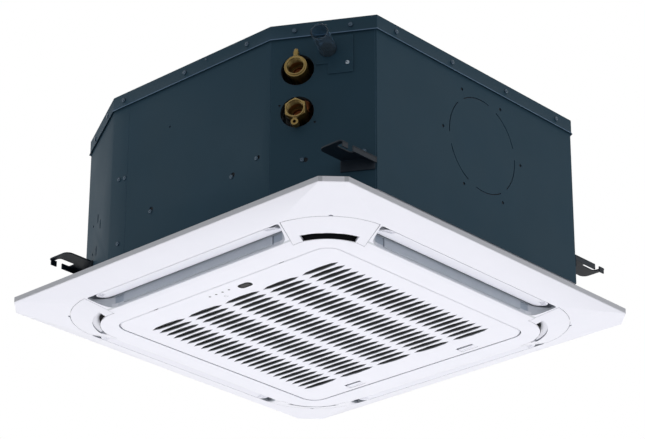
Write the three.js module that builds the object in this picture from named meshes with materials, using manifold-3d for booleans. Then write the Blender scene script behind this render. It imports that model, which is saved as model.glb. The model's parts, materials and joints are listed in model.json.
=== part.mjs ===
// Compact four-way ceiling cassette air conditioner, chilled-water type, for a 600 mm ceiling grid.
// Millimetres, +Z up. The origin is the centre of the ceiling plane, where the panel's rim meets it:
// the decorative panel hangs below the plane and the steel body stands above it.
// The -Y edge of the panel carries the display, and the corner (+X, -Y) carries the pipe fittings.

import * as THREE from 'three';
import { mergeVertices } from 'three/addons/utils/BufferGeometryUtils.js';
import Module from 'manifold-3d';

const wasm = await Module();
wasm.setup();

// ---------------------------------------------------------------- driving dimensions

const GAP = 0.3; // running or fitting gap between neighbours
const RIGHT_ANGLE = Math.PI / 2;

// Decorative panel: half widths and corner radii of its level lines, from the rim to the grille.
const PANEL_HALF = 323.5;
const PANEL_CHAMFER = 28;
const RIM_DROP = 8;
const RIM_BEVEL = 0.8;
const RIM_THICKNESS = 3.5;
const RIM_INNER_BEVEL = 1.5;
const SKIN = 3;
const BANDS = { corner: 143.5, step: 39.5, outlet: 32, shoulder: 12, border: 30 }; // widths, rim to grille
const CORNER_CENTRE = PANEL_HALF - BANDS.corner; // the round corners of the level lines share this centre
const STEP = { half: PANEL_HALF - BANDS.step, z: -20, inset: 1 }; // outer edge of the air outlets
const LIP = { half: STEP.half - BANDS.outlet, z: -29.6, inset: 1.5 }; // inner edge of the air outlets
const BELLY = { half: LIP.half - BANDS.shoulder, z: -33.2, inset: 0.5, blend: 6, rise: 1.1 }; // flat face
const GRILLE_HALF = BELLY.half - BANDS.border;
const GRILLE_RADIUS = 24;
const SEAM = 1.2; // seam round the grille
const WALL_OFFSET = 6; // from the grille's edge to the panel's inner wall
const INNER_WALL = { half: GRILLE_HALF + WALL_OFFSET, radius: 30, thickness: 2.5, top: 13.7 };
const BELOW = -70; // cutters start here, well under the panel
const ABOVE = 20; // and end here, over its skin

// Air outlets, drawn for the -Y side: x along the side, w outward from the centre.
const OUTLET_ENDS = { long: 97, short: 113, collar: 26 }; // how far the outlets stop short of the corners
const OUTLET = {
  outer: STEP.half - 0.6, inner: LIP.half - 3, longHalf: STEP.half - OUTLET_ENDS.long,
  shortHalf: STEP.half - OUTLET_ENDS.short, outerRadius: 5, innerRadius: 14,
};
const COLLAR = { start: OUTLET.shortHalf - OUTLET_ENDS.collar, wall: 2, drop: 1.8, margin: 6 };
const DUCT = {
  inner: OUTLET.inner + 1.5, outer: OUTLET.outer + 0.1, half: OUTLET.longHalf - 1, wall: 2, shift: 10.5,
  bend: -5, top: INNER_WALL.top,
};

// Louvre blades and their stepper motors.
const BLADE_ROOM = { outer: 0.8, inner: 3.8, overhang: 3.5, pivot: 17.4 }; // from the outlet's edges
const PIVOT = { w: OUTLET.outer - BLADE_ROOM.pivot, z: -6, pin: 2.5, hole: 2.9 };
const BLADE = {
  outer: OUTLET.outer - BLADE_ROOM.outer, outerZ: -20.3, inner: OUTLET.inner + BLADE_ROOM.inner,
  innerZ: -13.2, half: OUTLET.shortHalf + BLADE_ROOM.overhang, thickness: 1.6, sag: 0.8, camber: 8,
  endRadius: 16,
};
const BLADE_ARM = { thickness: 3, foot: 9, crown: 5.4, shoulder: 4.6 };
const MOTOR_CAN = { radius: 12, length: 14, boreDepth: 5, plug: 6 };

// Corner covers with an arc-shaped air slot.
const COVER = {
  start: CORNER_CENTRE + 10, sideInner: CORNER_CENTRE - 6, arcHalf: STEP.half, innerHalf: BELLY.half + 1,
  gap: 0.35,
};
const CORNER_SLOT = { centre: CORNER_CENTRE - 5, inner: 68, outer: 79, from: -75.5, to: -14.5 };
const THUMB_NOTCH = { radius: 3.2, depth: 12 };

// Intake grille: rows of bowed slots between inclined slats.
const GRILLE_BORDER = { x: 25.8, y: 44.3, skirt: 3, hinge: 22, latch: 13, filterX: 15, filterY: 32 };
const SLOTS = {
  columns: 5, rows: 24, halfX: GRILLE_HALF - GRILLE_BORDER.x, halfY: GRILLE_HALF - GRILLE_BORDER.y,
  shift: -0.85, rib: 4.4, land: 2.5, fullness: 0.9, lean: -1,
};
const HINGE = {
  y: GRILLE_BORDER.hinge - GRILLE_HALF, z: BELLY.z + SKIN + 0.2, pin: 1.2, bore: 1.5, lug: 2.3, x: 122,
  lugHalf: 2.5, pocketHalf: 4.5, bridge: -7, bridgeHeight: 5, rib: 2.5,
};
const EDGE_BEVEL = 1.8;
const SKIRT = { half: GRILLE_HALF - GRILLE_BORDER.skirt, radius: 26, thickness: 2, top: -20 };
const DISPLAY_LINES = { low: 6.5, lamps: 18.4, receiver: 22, button: 31.5, high: 39 }; // from the -Y edge
const DISPLAY = {
  left: -46, right: 54, low: DISPLAY_LINES.low - GRILLE_HALF, high: DISPLAY_LINES.high - GRILLE_HALF,
  top: -18,
};
const LAMPS = { first: -32, pitch: 12.4, count: 4, y: DISPLAY_LINES.lamps - GRILLE_HALF, radius: 1.4 };
const RECEIVER = { x: 33, y: DISPLAY_LINES.receiver - GRILLE_HALF, halfX: 8.3, halfY: 4.4, radius: 3.3 };
const BUTTON = { x: -13, y: DISPLAY_LINES.button - GRILLE_HALF, radius: 2.6, lift: 1.2, dome: 0.3 };
const FILTER = {
  halfX: GRILLE_HALF - GRILLE_BORDER.filterX, low: DISPLAY.high + 1.5,
  high: GRILLE_HALF - GRILLE_BORDER.filterY, thickness: 5, border: 10, cells: 4, rib: 4, radius: 10,
};
const LATCH = {
  x: 110, y: GRILLE_HALF - GRILLE_BORDER.latch, halfX: 15, halfY: 4.5, travel: 5,
  tongue: GRILLE_HALF + 0.2, plate: 2, ear: 3, room: 0.4,
};

// Steel body above the ceiling.
const BODY_SHIFT_X = 7.6; // the body hangs a little off the panel's centre
const BODY_SHIFT_Y = 7;
const BODY_HALF = 287.5;
const CUT_X = 130; // what each corner cut takes off the X direction
const CUT_Y = 73;
const SHEET = 1.2;
const BODY_BOTTOM = 24;
const LID_TOP = 285;
const LID_RIM = 22.4;
const LIP_FLARE = 1.6;
const LIP_HEIGHT = 3;
const LID_RIBS = { outer: 95, inner: 80, reach: 168, halfX: 9, halfY: 52, height: 1.5 };
const WRAP = 33; // two corner plates wrap this far round onto the Y faces
const WALL_INSET = SHEET + GAP;
const PAN_INSET = WALL_INSET + SHEET + GAP;
const FOAM = 9;
const FRONT_HOLES = [[-72, 81, 4], [88, 82, 4], [136, 93, 3], [-39, 199, 1.6]]; // x, z, radius
const PIPE_SIDE_HOLES = [[-24.5, 77, 3.6], [-61, 162, 1.8], [-12, 132, 1.8]]; // along, z, radius
const LEFT_SIDE_SLOTS = [[-5, 128], [12, 112], [-8, 78]]; // along, z
const LEFT_SIDE_HOLES = [[-34, 128], [-32, 82]];
const SIDE_SLOT = { halfX: 2.5, halfZ: 7, hole: 2.2 };

// Fresh-air blank in the right side plate.
const BLANK = { y: 8, z: 168, radius: 72, pcd: 169, hole: 2.6, slit: 1.6, tab: 14, count: 6, turn: 10 };

// Drain pan and intake ring.
const PAN_TOP = 72;
const PAN_BANDS = { edge: 9.5, slot: 44, wall: 15.5, channel: 33, curb: 5.5, slotEnd: 137.5 };
const PAN_SLOT = {
  inner: BODY_HALF - PAN_BANDS.edge - PAN_BANDS.slot, outer: BODY_HALF - PAN_BANDS.edge,
  half: BODY_HALF - PAN_BANDS.slotEnd, radius: 12,
};
const CHANNEL = {
  inner: PAN_SLOT.inner - PAN_BANDS.wall - PAN_BANDS.channel, outer: PAN_SLOT.inner - PAN_BANDS.wall,
  innerRadius: 44, outerRadius: 66, floor: 57.7,
};
const PAN_OPENING = CHANNEL.inner - PAN_BANDS.curb;
const PAN_RADIUS = 40;
const GASKET_WIDTH = 22;
const GASKET = {
  inner: INNER_WALL.half + 6 - GASKET_WIDTH, outer: INNER_WALL.half + 6, innerRadius: 20, outerRadius: 40,
};

// Coil ring, open at the pipe corner.
const COIL_ROOM = { channel: 3.5, end: 30 }; // to the channel's wall, and short of the outlet slot's end
const COIL = {
  outer: CHANNEL.outer - COIL_ROOM.channel, thickness: 26, radius: 60, low: 58, high: 271.7,
  end: PAN_SLOT.half - COIL_ROOM.end, bendSteps: 5,
};

// Fan.
const IMPELLER = { radius: 158, inlet: 118, low: 92, plate: 207, disc: 3, blades: 7, blade: 3, shroud: 2.4 };
const HUB = { top: 78, bottom: 66, floor: 170, wall: 3, boss: 15 };
const BELL = {
  plate: 60, thickness: 2.5, mouth: IMPELLER.inlet + 9, throat: IMPELLER.inlet - 6, top: IMPELLER.low + 5,
  wall: 2.2, bead: 0.6, curve: 20, flare: 6,
};
const MOUNT_DISC = { radius: 80, inner: 50, low: LID_TOP - 17, seat: LID_TOP - 5 };
const MOTOR = { radius: 58, neck: 24, low: 186, high: MOUNT_DISC.low - GAP, boreDepth: 22 };
const SHAFT = { radius: 6, low: 150, nut: 10, nutHeight: 7.7 };

// Pipe corner, measured along the corner cut from its middle, and up.
const UNION = { along: -36.5, high: 214, low: 150, hole: 23.4, head: 15.8, bore: 12, throat: 9.6, collar: 13.4 };
const UNION_OUT = -10;
const UNION_NECK = -2;
const UNION_IN = 22;
const VENT = { radius: 4.2, height: 11 };
const DRAIN_VALVE = { radius: 5.2, length: 10, spout: 2.4 };
const DRAIN = { along: 6.1, z: 240.3, radius: 12.5, bore: 10.5, out: -50, in: 22 };
const DRAIN_COVER = {
  left: -10.5, right: 41, low: 202, high: 258, thickness: 1.5, notchX: 17, notchZ: 16,
  screws: [[-5.5, 250], [33.5, 216]], screw: 1.8,
};
const PIPE_RADIUS = 9.2;
const HEADER = {
  radius: 11, low: 95, high: 255, depth: 62, frontGap: 1.4, rightGap: 0.7, feeders: [110, 175, 240], feeder: 4,
};

// Hanger brackets: open hooks for 10 mm rods on a 545 x 523 pattern.
const ROD_INSET = { x: 15, y: 26 }; // in from the body's sides
const ROD = { x: BODY_HALF - ROD_INSET.x, y: BODY_HALF - ROD_INSET.y, slot: 6.5 };
const BRACKET = { z: 68, thickness: 2.5, flangeLow: 52, near: 6, far: 72, hook: 58, finger: 45 };

// Drain pump corner and control box.
const PUMP_INSET = { x: 51.5, y: 91.5 };
const PUMP = { x: BODY_HALF - PUMP_INSET.x, y: PUMP_INSET.y - BODY_HALF, radius: 21, high: 120, spigot: 11 };
const FLOAT_INSET = { x: 81.5, y: 64.5 };
const FLOAT = {
  x: BODY_HALF - FLOAT_INSET.x, y: FLOAT_INSET.y - BODY_HALF, stem: 3, inner: 3.5, outer: 9.5, head: 7,
  collar: 4.5, low: 79, height: 11, travel: 12, top: 112,
};
const BOX = { halfX: 95, low: 31, y0: BELL.mouth + 3, y1: PAN_OPENING - 2, wall: 2, lid: 1.5 };

// ---------------------------------------------------------------- solids and outlines

/** Turns a closed geometry into a solid that can be cut and joined. */
function solid(geometry) {
  const bare = geometry.clone();
  bare.deleteAttribute('normal');
  bare.deleteAttribute('uv');
  const merged = mergeVertices(bare, 1e-4);
  const index = merged.index.array;
  const triangles = [];
  for (let i = 0; i < index.length; i += 3) {
    const [a, b, c] = [index[i], index[i + 1], index[i + 2]];
    if (a !== b && b !== c && c !== a) triangles.push(a, b, c);
  }
  return new wasm.Manifold(new wasm.Mesh({
    numProp: 3,
    vertProperties: new Float32Array(merged.attributes.position.array),
    triVerts: new Uint32Array(triangles),
  }));
}

/** Turns a solid back into a geometry with flat-shaded faces. */
function geometryOf(body) {
  const mesh = body.getMesh();
  const geometry = new THREE.BufferGeometry();
  geometry.setAttribute('position', new THREE.BufferAttribute(new Float32Array(mesh.vertProperties), 3));
  geometry.setIndex(new THREE.BufferAttribute(new Uint32Array(mesh.triVerts), 1));
  const flat = geometry.toNonIndexed();
  flat.computeVertexNormals();
  return flat;
}

function cut(body, ...tools) {
  return tools.reduce((rest, tool) => rest.subtract(tool), body);
}

function join(body, ...others) {
  return others.reduce((sum, other) => sum.add(other), body);
}

/** Applies a three.js transform to a solid by way of its geometry. */
function moved(body, matrix) {
  return solid(geometryOf(body).applyMatrix4(matrix));
}

function turned(body, angle) {
  return moved(body, new THREE.Matrix4().makeRotationZ(angle));
}

function shifted(body, x, y, z) {
  return moved(body, new THREE.Matrix4().makeTranslation(x, y, z));
}

/** A box between two corners. */
function block(x0, x1, y0, y1, z0, z1) {
  const geometry = new THREE.BoxGeometry(x1 - x0, y1 - y0, z1 - z0);
  return solid(geometry.translate((x0 + x1) / 2, (y0 + y1) / 2, (z0 + z1) / 2));
}

/** A flat outline from corners [x, y] or [x, y, rounding]. */
function outline(corners, Kind = THREE.Shape) {
  const shape = new Kind();
  const count = corners.length;
  corners.forEach(([x, y, rounding = 0], i) => {
    const here = new THREE.Vector2(x, y);
    const before = new THREE.Vector2(...corners[(i + count - 1) % count].slice(0, 2));
    const after = new THREE.Vector2(...corners[(i + 1) % count].slice(0, 2));
    const start = here.clone().add(before.sub(here).setLength(rounding));
    const end = here.clone().add(after.sub(here).setLength(rounding));
    if (i === 0) shape.moveTo(start.x, start.y);
    else shape.lineTo(start.x, start.y);
    if (rounding > 0) shape.quadraticCurveTo(x, y, end.x, end.y);
  });
  shape.closePath();
  return shape;
}

/** Extrudes a flat outline from one height to another. */
function slab(shape, low, high, curveSegments = 3) {
  const geometry = new THREE.ExtrudeGeometry(shape, {
    depth: high - low, bevelEnabled: false, curveSegments,
  });
  return solid(geometry.translate(0, 0, low));
}

/** A rounded rectangle about the point (x, y). */
function roundedRectangle(x, y, halfX, halfY, radius, Kind = THREE.Shape) {
  return outline([
    [x - halfX, y - halfY, radius], [x + halfX, y - halfY, radius],
    [x + halfX, y + halfY, radius], [x - halfX, y + halfY, radius],
  ], Kind);
}

/** A ring or disc standing on Z: profile corners are [radius, z]. */
function spun(profile, segments = 40) {
  const points = profile.map(([radius, z]) => new THREE.Vector2(radius, z));
  if (THREE.ShapeUtils.isClockWise(points)) points.reverse();
  if (profile[0][0] > 0) points.push(points[0].clone());
  return solid(new THREE.LatheGeometry(points, segments).rotateX(RIGHT_ANGLE));
}

/** An upright round bar. */
function rod(x, y, radius, low, high, segments = 24) {
  const geometry = new THREE.CylinderGeometry(radius, radius, high - low, segments);
  return solid(geometry.rotateX(RIGHT_ANGLE).translate(x, y, (low + high) / 2));
}

/** A round bar along X. */
function barX(x0, x1, y, z, radius, segments = 16) {
  const geometry = new THREE.CylinderGeometry(radius, radius, x1 - x0, segments);
  return solid(geometry.rotateZ(RIGHT_ANGLE).translate((x0 + x1) / 2, y, z));
}

/** A round bar along Y. */
function barY(x, y0, y1, z, radius, segments = 24) {
  const geometry = new THREE.CylinderGeometry(radius, radius, y1 - y0, segments);
  return solid(geometry.translate(x, (y0 + y1) / 2, z));
}

/** A tube or hose of round section along a smooth curve. */
function alongCurve(points, radius, steps = 14, sides = 12) {
  const section = new THREE.Shape();
  section.absarc(0, 0, radius, 0, Math.PI * 2);
  const curve = new THREE.CatmullRomCurve3(points.map((p) => new THREE.Vector3(...p)));
  const geometry = new THREE.ExtrudeGeometry(section, { steps, curveSegments: sides, extrudePath: curve });
  return solid(geometry);
}

/** Profile corners [y, z] extruded along X. */
function profileAlongX(corners, x0, x1) {
  const geometry = new THREE.ExtrudeGeometry(outline(corners), {
    depth: x1 - x0, bevelEnabled: false, curveSegments: 3,
  });
  const toYZ = new THREE.Matrix4().set(0, 0, 1, x0, 1, 0, 0, 0, 0, 1, 0, 0, 0, 0, 0, 1);
  return solid(geometry.applyMatrix4(toYZ));
}

// ---------------------------------------------------------------- level lines and lofts

const CORNER_STEPS = 5;
const UP = new THREE.Vector3(0, 0, 1);

/** One closed level line with four corners, round or chamfered, counter-clockwise. */
function levelLine(half, corner, z, chamfered = false) {
  const points = [];
  const centre = half - corner;
  for (let side = 0; side < 4; side += 1) {
    for (let i = 0; i <= CORNER_STEPS; i += 1) {
      const t = i / CORNER_STEPS;
      const angle = t * RIGHT_ANGLE;
      const x = centre + corner * (chamfered ? 1 - t : Math.cos(angle));
      const y = centre + corner * (chamfered ? t : Math.sin(angle));
      points.push(new THREE.Vector3(x, y, z).applyAxisAngle(UP, side * RIGHT_ANGLE));
    }
  }
  return points;
}

/** Level line with the panel's common corner centre. */
function panelLine(half, z) {
  return levelLine(half, half - CORNER_CENTRE, z);
}

/** Joins level lines of equal length into a solid: a closed ring, or a plug with two flat ends. */
function loft(lines, isRing) {
  const count = lines[0].length;
  const positions = lines.flat().flatMap((p) => [p.x, p.y, p.z]);
  const index = [];
  const bands = isRing ? lines.length : lines.length - 1;
  for (let band = 0; band < bands; band += 1) {
    const low = band * count;
    const high = ((band + 1) % lines.length) * count;
    for (let i = 0; i < count; i += 1) {
      const j = (i + 1) % count;
      index.push(low + i, low + j, high + j, low + i, high + j, high + i);
    }
  }
  if (!isRing) {
    const flat = lines[0].map((p) => new THREE.Vector2(p.x, p.y));
    const last = (lines.length - 1) * count;
    THREE.ShapeUtils.triangulateShape(flat, []).forEach(([a, b, c]) => index.push(c, b, a));
    const top = lines[lines.length - 1].map((p) => new THREE.Vector2(p.x, p.y));
    THREE.ShapeUtils.triangulateShape(top, []).forEach(([a, b, c]) => index.push(last + a, last + b, last + c));
  }
  const geometry = new THREE.BufferGeometry();
  geometry.setAttribute('position', new THREE.Float32BufferAttribute(positions, 3));
  geometry.setIndex(index);
  return solid(geometry);
}

// ---------------------------------------------------------------- scene graph

const airConditioner = new THREE.Group();
const bodyGroup = new THREE.Group();
bodyGroup.position.set(BODY_SHIFT_X, BODY_SHIFT_Y, 0);
const panelGroup = new THREE.Group();
airConditioner.add(bodyGroup, panelGroup);

const FINISHES = {
  darkSteel: { color: '#2f4350', roughness: 0.5, metalness: 0.6 },
  blackSteel: { color: '#161d24', roughness: 0.5, metalness: 0.5 },
  whitePlastic: { color: '#efeff6', roughness: 0.45, metalness: 0 },
  greyPlastic: { color: '#78838e', roughness: 0.6, metalness: 0 },
  blackPlastic: { color: '#15171a', roughness: 0.5, metalness: 0 },
  darkWindow: { color: '#121418', roughness: 0.1, metalness: 0 },
  foam: { color: '#d9dce0', roughness: 0.9, metalness: 0 },
  softFoam: { color: '#33363b', roughness: 0.95, metalness: 0 },
  galvanised: { color: '#9aa1a6', roughness: 0.4, metalness: 0.8 },
  aluminium: { color: '#bfc3c7', roughness: 0.35, metalness: 0.9 },
  copper: { color: '#b06a42', roughness: 0.35, metalness: 0.9 },
  brass: { color: '#a08448', roughness: 0.35, metalness: 0.9 },
  clearPipe: { color: '#3a4c58', roughness: 0.3, metalness: 0 },
};

function addPart(group, name, body, finish) {
  const mesh = new THREE.Mesh(geometryOf(body), new THREE.MeshStandardMaterial(FINISHES[finish]));
  mesh.name = name;
  group.add(mesh);
}

// ---------------------------------------------------------------- body: outline and corner cuts

const CUT_LENGTH = Math.hypot(CUT_X, CUT_Y);
const CUT_NORMAL = new THREE.Vector2(CUT_Y, CUT_X).divideScalar(CUT_LENGTH);
const CUT_REACH = CUT_NORMAL.x * BODY_HALF + CUT_NORMAL.y * (BODY_HALF - CUT_Y);

/** The eight corners of the body's outline, moved inward. */
function bodyCorners(inset) {
  const half = BODY_HALF - inset;
  const reach = CUT_REACH - inset;
  const x = (reach - CUT_NORMAL.y * half) / CUT_NORMAL.x;
  const y = (reach - CUT_NORMAL.x * half) / CUT_NORMAL.y;
  return [[x, -half], [half, -y], [half, y], [x, half], [-x, half], [-half, y], [-half, -y], [-x, -half]];
}

function bodyLine(inset, z) {
  return bodyCorners(inset).map(([x, y]) => new THREE.Vector3(x, y, z));
}

function bodySlab(inset, low, high) {
  return slab(outline(bodyCorners(inset)), low, high);
}

const CORNERS = [
  { name: 'pipe_corner', x: 1, y: -1 },
  { name: 'front_left', x: -1, y: -1 },
  { name: 'back_right', x: 1, y: 1 },
  { name: 'back_left', x: -1, y: 1 },
];

/** Moves a solid drawn against the front (-Y) face onto a corner cut; y = 0 is the lid's outer face. */
function ontoCut(body, corner) {
  const middleX = corner.x * (BODY_HALF - CUT_X / 2);
  const middleY = corner.y * (BODY_HALF - CUT_Y / 2);
  const angle = Math.atan2(corner.x * CUT_NORMAL.x, -corner.y * CUT_NORMAL.y);
  const matrix = new THREE.Matrix4().makeTranslation(middleX, middleY, 0);
  return moved(body, matrix.multiply(new THREE.Matrix4().makeRotationZ(angle)));
}

const PIPE_CORNER = CORNERS[0];

// ---------------------------------------------------------------- body: sheet metal

function topCover() {
  const rimLow = LID_TOP - LID_RIM;
  const shell = loft([
    bodyLine(0, LID_TOP), bodyLine(0, rimLow + LIP_HEIGHT), bodyLine(-LIP_FLARE, rimLow),
    bodyLine(SHEET - LIP_FLARE, rimLow), bodyLine(SHEET, rimLow + LIP_HEIGHT),
    bodyLine(SHEET, LID_TOP - SHEET),
  ].reverse(), false);
  const { outer, inner, reach, halfX, halfY, height } = LID_RIBS;
  const ring = slab(roundRing(outer, inner), LID_TOP - GAP, LID_TOP + height, 12);
  const ribs = [0, 1, 2, 3].map((side) => {
    const rib = slab(roundedRectangle(0, -reach, halfX, halfY, halfX - 3), LID_TOP - GAP, LID_TOP + height);
    return turned(rib, side * RIGHT_ANGLE);
  });
  return join(shell, ring, ...ribs);
}

/** A flat ring outline about the origin. */
function roundRing(outer, inner, x = 0, y = 0) {
  const shape = new THREE.Shape();
  shape.absarc(x, y, outer, 0, Math.PI * 2);
  const hole = new THREE.Path();
  hole.absarc(x, y, inner, 0, Math.PI * 2, true);
  shape.holes.push(hole);
  return shape;
}

function casingWall() {
  const wallTop = LID_TOP - SHEET - GAP;
  const outer = bodySlab(WALL_INSET, BODY_BOTTOM, wallTop);
  const inner = bodySlab(WALL_INSET + SHEET, BODY_BOTTOM - 1, wallTop + 1);
  return cut(outer, inner);
}

/** The part of the casing wall inside a rectangle of the plan. */
function wallPiece(wall, x0, x1, y0, y1) {
  return wall.intersect(block(x0, x1, y0, y1, 0, LID_TOP + 1));
}

function frontHoles() {
  return FRONT_HOLES.map(([x, z, radius]) => barY(x, -BODY_HALF - 2, -BODY_HALF + 8, z, radius, 16));
}

/** The perforated circle for a fresh-air duct, as slits and screw holes along X. */
function blankCutters() {
  const tools = [];
  const sector = 360 / BLANK.count;
  for (let i = 0; i < BLANK.count; i += 1) {
    const from = THREE.MathUtils.degToRad(i * sector + BLANK.tab / 2 + BLANK.turn);
    const to = THREE.MathUtils.degToRad((i + 1) * sector - BLANK.tab / 2 + BLANK.turn);
    const slit = new THREE.Shape();
    slit.absarc(0, 0, BLANK.radius, from, to, false);
    slit.absarc(0, 0, BLANK.radius - BLANK.slit, to, from, true);
    slit.closePath();
    tools.push(slab(slit, -6, 6, 5));
    const angle = THREE.MathUtils.degToRad(i * sector);
    const reach = BLANK.pcd / 2;
    tools.push(rod(reach * Math.cos(angle), reach * Math.sin(angle), BLANK.hole, -6, 6, 10));
  }
  const toFace = new THREE.Matrix4().makeTranslation(BODY_HALF, BLANK.y, BLANK.z);
  toFace.multiply(new THREE.Matrix4().set(0, 0, 1, 0, 1, 0, 0, 0, 0, 1, 0, 0, 0, 0, 0, 1));
  return tools.map((tool) => moved(tool, toFace));
}

function pipeCornerHoles() {
  const depth = 16;
  const pairs = [
    [UNION.along, UNION.high, UNION.hole, 24], [UNION.along, UNION.low, UNION.hole, 24],
    [DRAIN.along, DRAIN.z, DRAIN.radius + 1, 18],
    ...PIPE_SIDE_HOLES.map((hole) => [...hole, 10]),
  ];
  return pairs.map(([x, z, radius, sides]) => ontoCut(barY(x, -depth, depth, z, radius, sides), PIPE_CORNER));
}

function frontLeftHoles() {
  const { halfX, halfZ, hole } = SIDE_SLOT;
  const slots = LEFT_SIDE_SLOTS.map(([x, z]) => block(x - halfX, x + halfX, -10, 10, z - halfZ, z + halfZ));
  const dots = LEFT_SIDE_HOLES.map(([x, z]) => barY(x, -10, 10, z, hole, 12));
  return [...slots, ...dots].map((tool) => ontoCut(tool, CORNERS[1]));
}

function addCasing() {
  const wall = casingWall();
  const edge = BODY_HALF + 10;
  const cornerX = BODY_HALF - CUT_X - GAP / 2;
  const cornerY = BODY_HALF - CUT_Y - GAP / 2;
  const wrapX = cornerX - WRAP;
  const front = cut(wallPiece(wall, -wrapX, cornerX, -edge, 0), ...frontHoles());
  const near = BODY_HALF / 2;
  const right = cut(wallPiece(wall, near, edge, -cornerY, cornerY), ...blankCutters());
  addPart(bodyGroup, 'top_cover', topCover(), 'darkSteel');
  addPart(bodyGroup, 'front_side_plate', front, 'darkSteel');
  addPart(bodyGroup, 'right_side_plate', right, 'darkSteel');
  addPart(bodyGroup, 'back_side_plate', wallPiece(wall, -cornerX, wrapX, 0, edge), 'darkSteel');
  addPart(bodyGroup, 'left_side_plate', wallPiece(wall, -edge, -near, -cornerY, cornerY), 'darkSteel');
  const lineX = cornerX + GAP;
  const lineY = cornerY + GAP;
  const wrapLine = wrapX + GAP;
  const pipePlate = cut(wallPiece(wall, lineX, edge, -edge, -lineY), ...pipeCornerHoles());
  const frontLeft = cut(wallPiece(wall, -edge, -wrapLine, -edge, -lineY), ...frontLeftHoles());
  addPart(bodyGroup, 'pipe_corner_plate', pipePlate, 'darkSteel');
  addPart(bodyGroup, 'front_left_corner_plate', frontLeft, 'darkSteel');
  addPart(bodyGroup, 'back_right_corner_plate', wallPiece(wall, wrapLine, edge, lineY, edge), 'darkSteel');
  addPart(bodyGroup, 'back_left_corner_plate', wallPiece(wall, -edge, -lineX, lineY, edge), 'darkSteel');
}

/** One hanger bracket: a flange on the corner plate and a flat hook that a threaded rod slips into. */
function hangerBracket(corner) {
  const side = -corner.x * corner.y;
  const rodPoint = new THREE.Vector2(ROD.x, ROD.y);
  const rodOut = CUT_NORMAL.dot(rodPoint) - CUT_REACH;
  const along = new THREE.Vector2(CUT_NORMAL.y, -CUT_NORMAL.x);
  const middle = new THREE.Vector2(BODY_HALF - CUT_X / 2, BODY_HALF - CUT_Y / 2);
  const rodAlong = along.dot(rodPoint.sub(middle));
  const face = WALL_INSET - GAP;
  const slotLeft = rodAlong - ROD.slot;
  const slotRight = rodAlong + ROD.slot;
  const slotEnd = -rodOut + ROD.slot + 5;
  const corners = [
    [BRACKET.near, face], [BRACKET.near, -30, 6], [16, -BRACKET.hook, 8], [rodAlong - 2, -BRACKET.hook, 4],
    [rodAlong - 2, -BRACKET.hook + 8, 2], [slotLeft, -BRACKET.hook + 12, 3], [slotLeft, slotEnd, 6],
    [slotRight, slotEnd, 6], [slotRight, -BRACKET.finger, 2], [slotRight + 9, -BRACKET.finger, 5],
    [BRACKET.far, -20, 6], [BRACKET.far, face],
  ].map(([x, y, rounding = 0]) => [side * x, y, rounding]);
  const hook = slab(outline(side > 0 ? corners : corners.reverse()), BRACKET.z, BRACKET.z + BRACKET.thickness);
  const ends = [side * BRACKET.near, side * BRACKET.far].sort((a, b) => a - b);
  const back = face - BRACKET.thickness;
  const flange = block(ends[0], ends[1], back, face, BRACKET.flangeLow, BRACKET.z + BRACKET.thickness);
  return ontoCut(join(hook, flange), corner);
}

function addBrackets() {
  CORNERS.forEach((corner, i) => addPart(bodyGroup, `hanger_bracket_${i + 1}`, hangerBracket(corner), 'blackSteel'));
}

// ---------------------------------------------------------------- body: insulation, coil and pipes

function foamLiner() {
  const low = PAN_TOP + GAP;
  const high = LID_TOP - SHEET - GAP;
  const outer = bodySlab(PAN_INSET, low, high);
  const hollow = bodySlab(PAN_INSET + FOAM, low - 1, COIL.high + GAP);
  const passages = [[UNION.along, UNION.high, UNION.hole], [UNION.along, UNION.low, UNION.hole],
    [DRAIN.along, DRAIN.z, DRAIN.radius + GAP]]
    .map(([x, z, radius]) => ontoCut(barY(x, -1, 30, z, radius, 18), PIPE_CORNER));
  return cut(outer, hollow, rod(0, 0, MOUNT_DISC.radius + GAP, COIL.high - 1, high + 1, 28), ...passages);
}

/** The middle line of the finned coil, from the front end round to the right end. */
function coilPath() {
  const middle = COIL.outer - COIL.thickness / 2;
  const radius = COIL.radius - COIL.thickness / 2;
  const centre = middle - radius;
  const path = new THREE.Path();
  path.moveTo(COIL.end, -middle);
  path.lineTo(-centre, -middle);
  path.absarc(-centre, -centre, radius, -RIGHT_ANGLE, -2 * RIGHT_ANGLE, true);
  path.lineTo(-middle, centre);
  path.absarc(-centre, centre, radius, 2 * RIGHT_ANGLE, RIGHT_ANGLE, true);
  path.lineTo(centre, middle);
  path.absarc(centre, centre, radius, RIGHT_ANGLE, 0, true);
  path.lineTo(middle, -COIL.end);
  return path;
}

/** The coil block: straight runs with a bend of a few facets at each corner. */
function finnedCoil() {
  const points = coilPath().getPoints(COIL.bendSteps);
  const outer = [];
  const inner = [];
  points.forEach((point, i) => {
    const before = points[Math.max(i - 1, 0)];
    const after = points[Math.min(i + 1, points.length - 1)];
    const ahead = after.clone().sub(before).normalize();
    const reach = COIL.thickness / 2;
    outer.push([point.x - ahead.y * reach, point.y + ahead.x * reach]);
    inner.push([point.x + ahead.y * reach, point.y - ahead.x * reach]);
  });
  return slab(outline([...outer, ...inner.reverse()].reverse()), COIL.low, COIL.high);
}

/** A copper header standing at a coil end, with its branch from the union and its feeder tubes. */
function header(unionZ, foot, branch, feederEnd) {
  const [x, y] = foot;
  const standpipe = rod(x, y, HEADER.radius, HEADER.low, HEADER.high, 16);
  const run = alongCurve(branch.map(([bx, by]) => [bx, by, unionZ]), PIPE_RADIUS, 8, 7);
  const feeders = HEADER.feeders.map((z) => alongCurve([[x, y, z], [...feederEnd, z]], HEADER.feeder, 1, 5));
  return join(standpipe, run, ...feeders);
}

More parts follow.
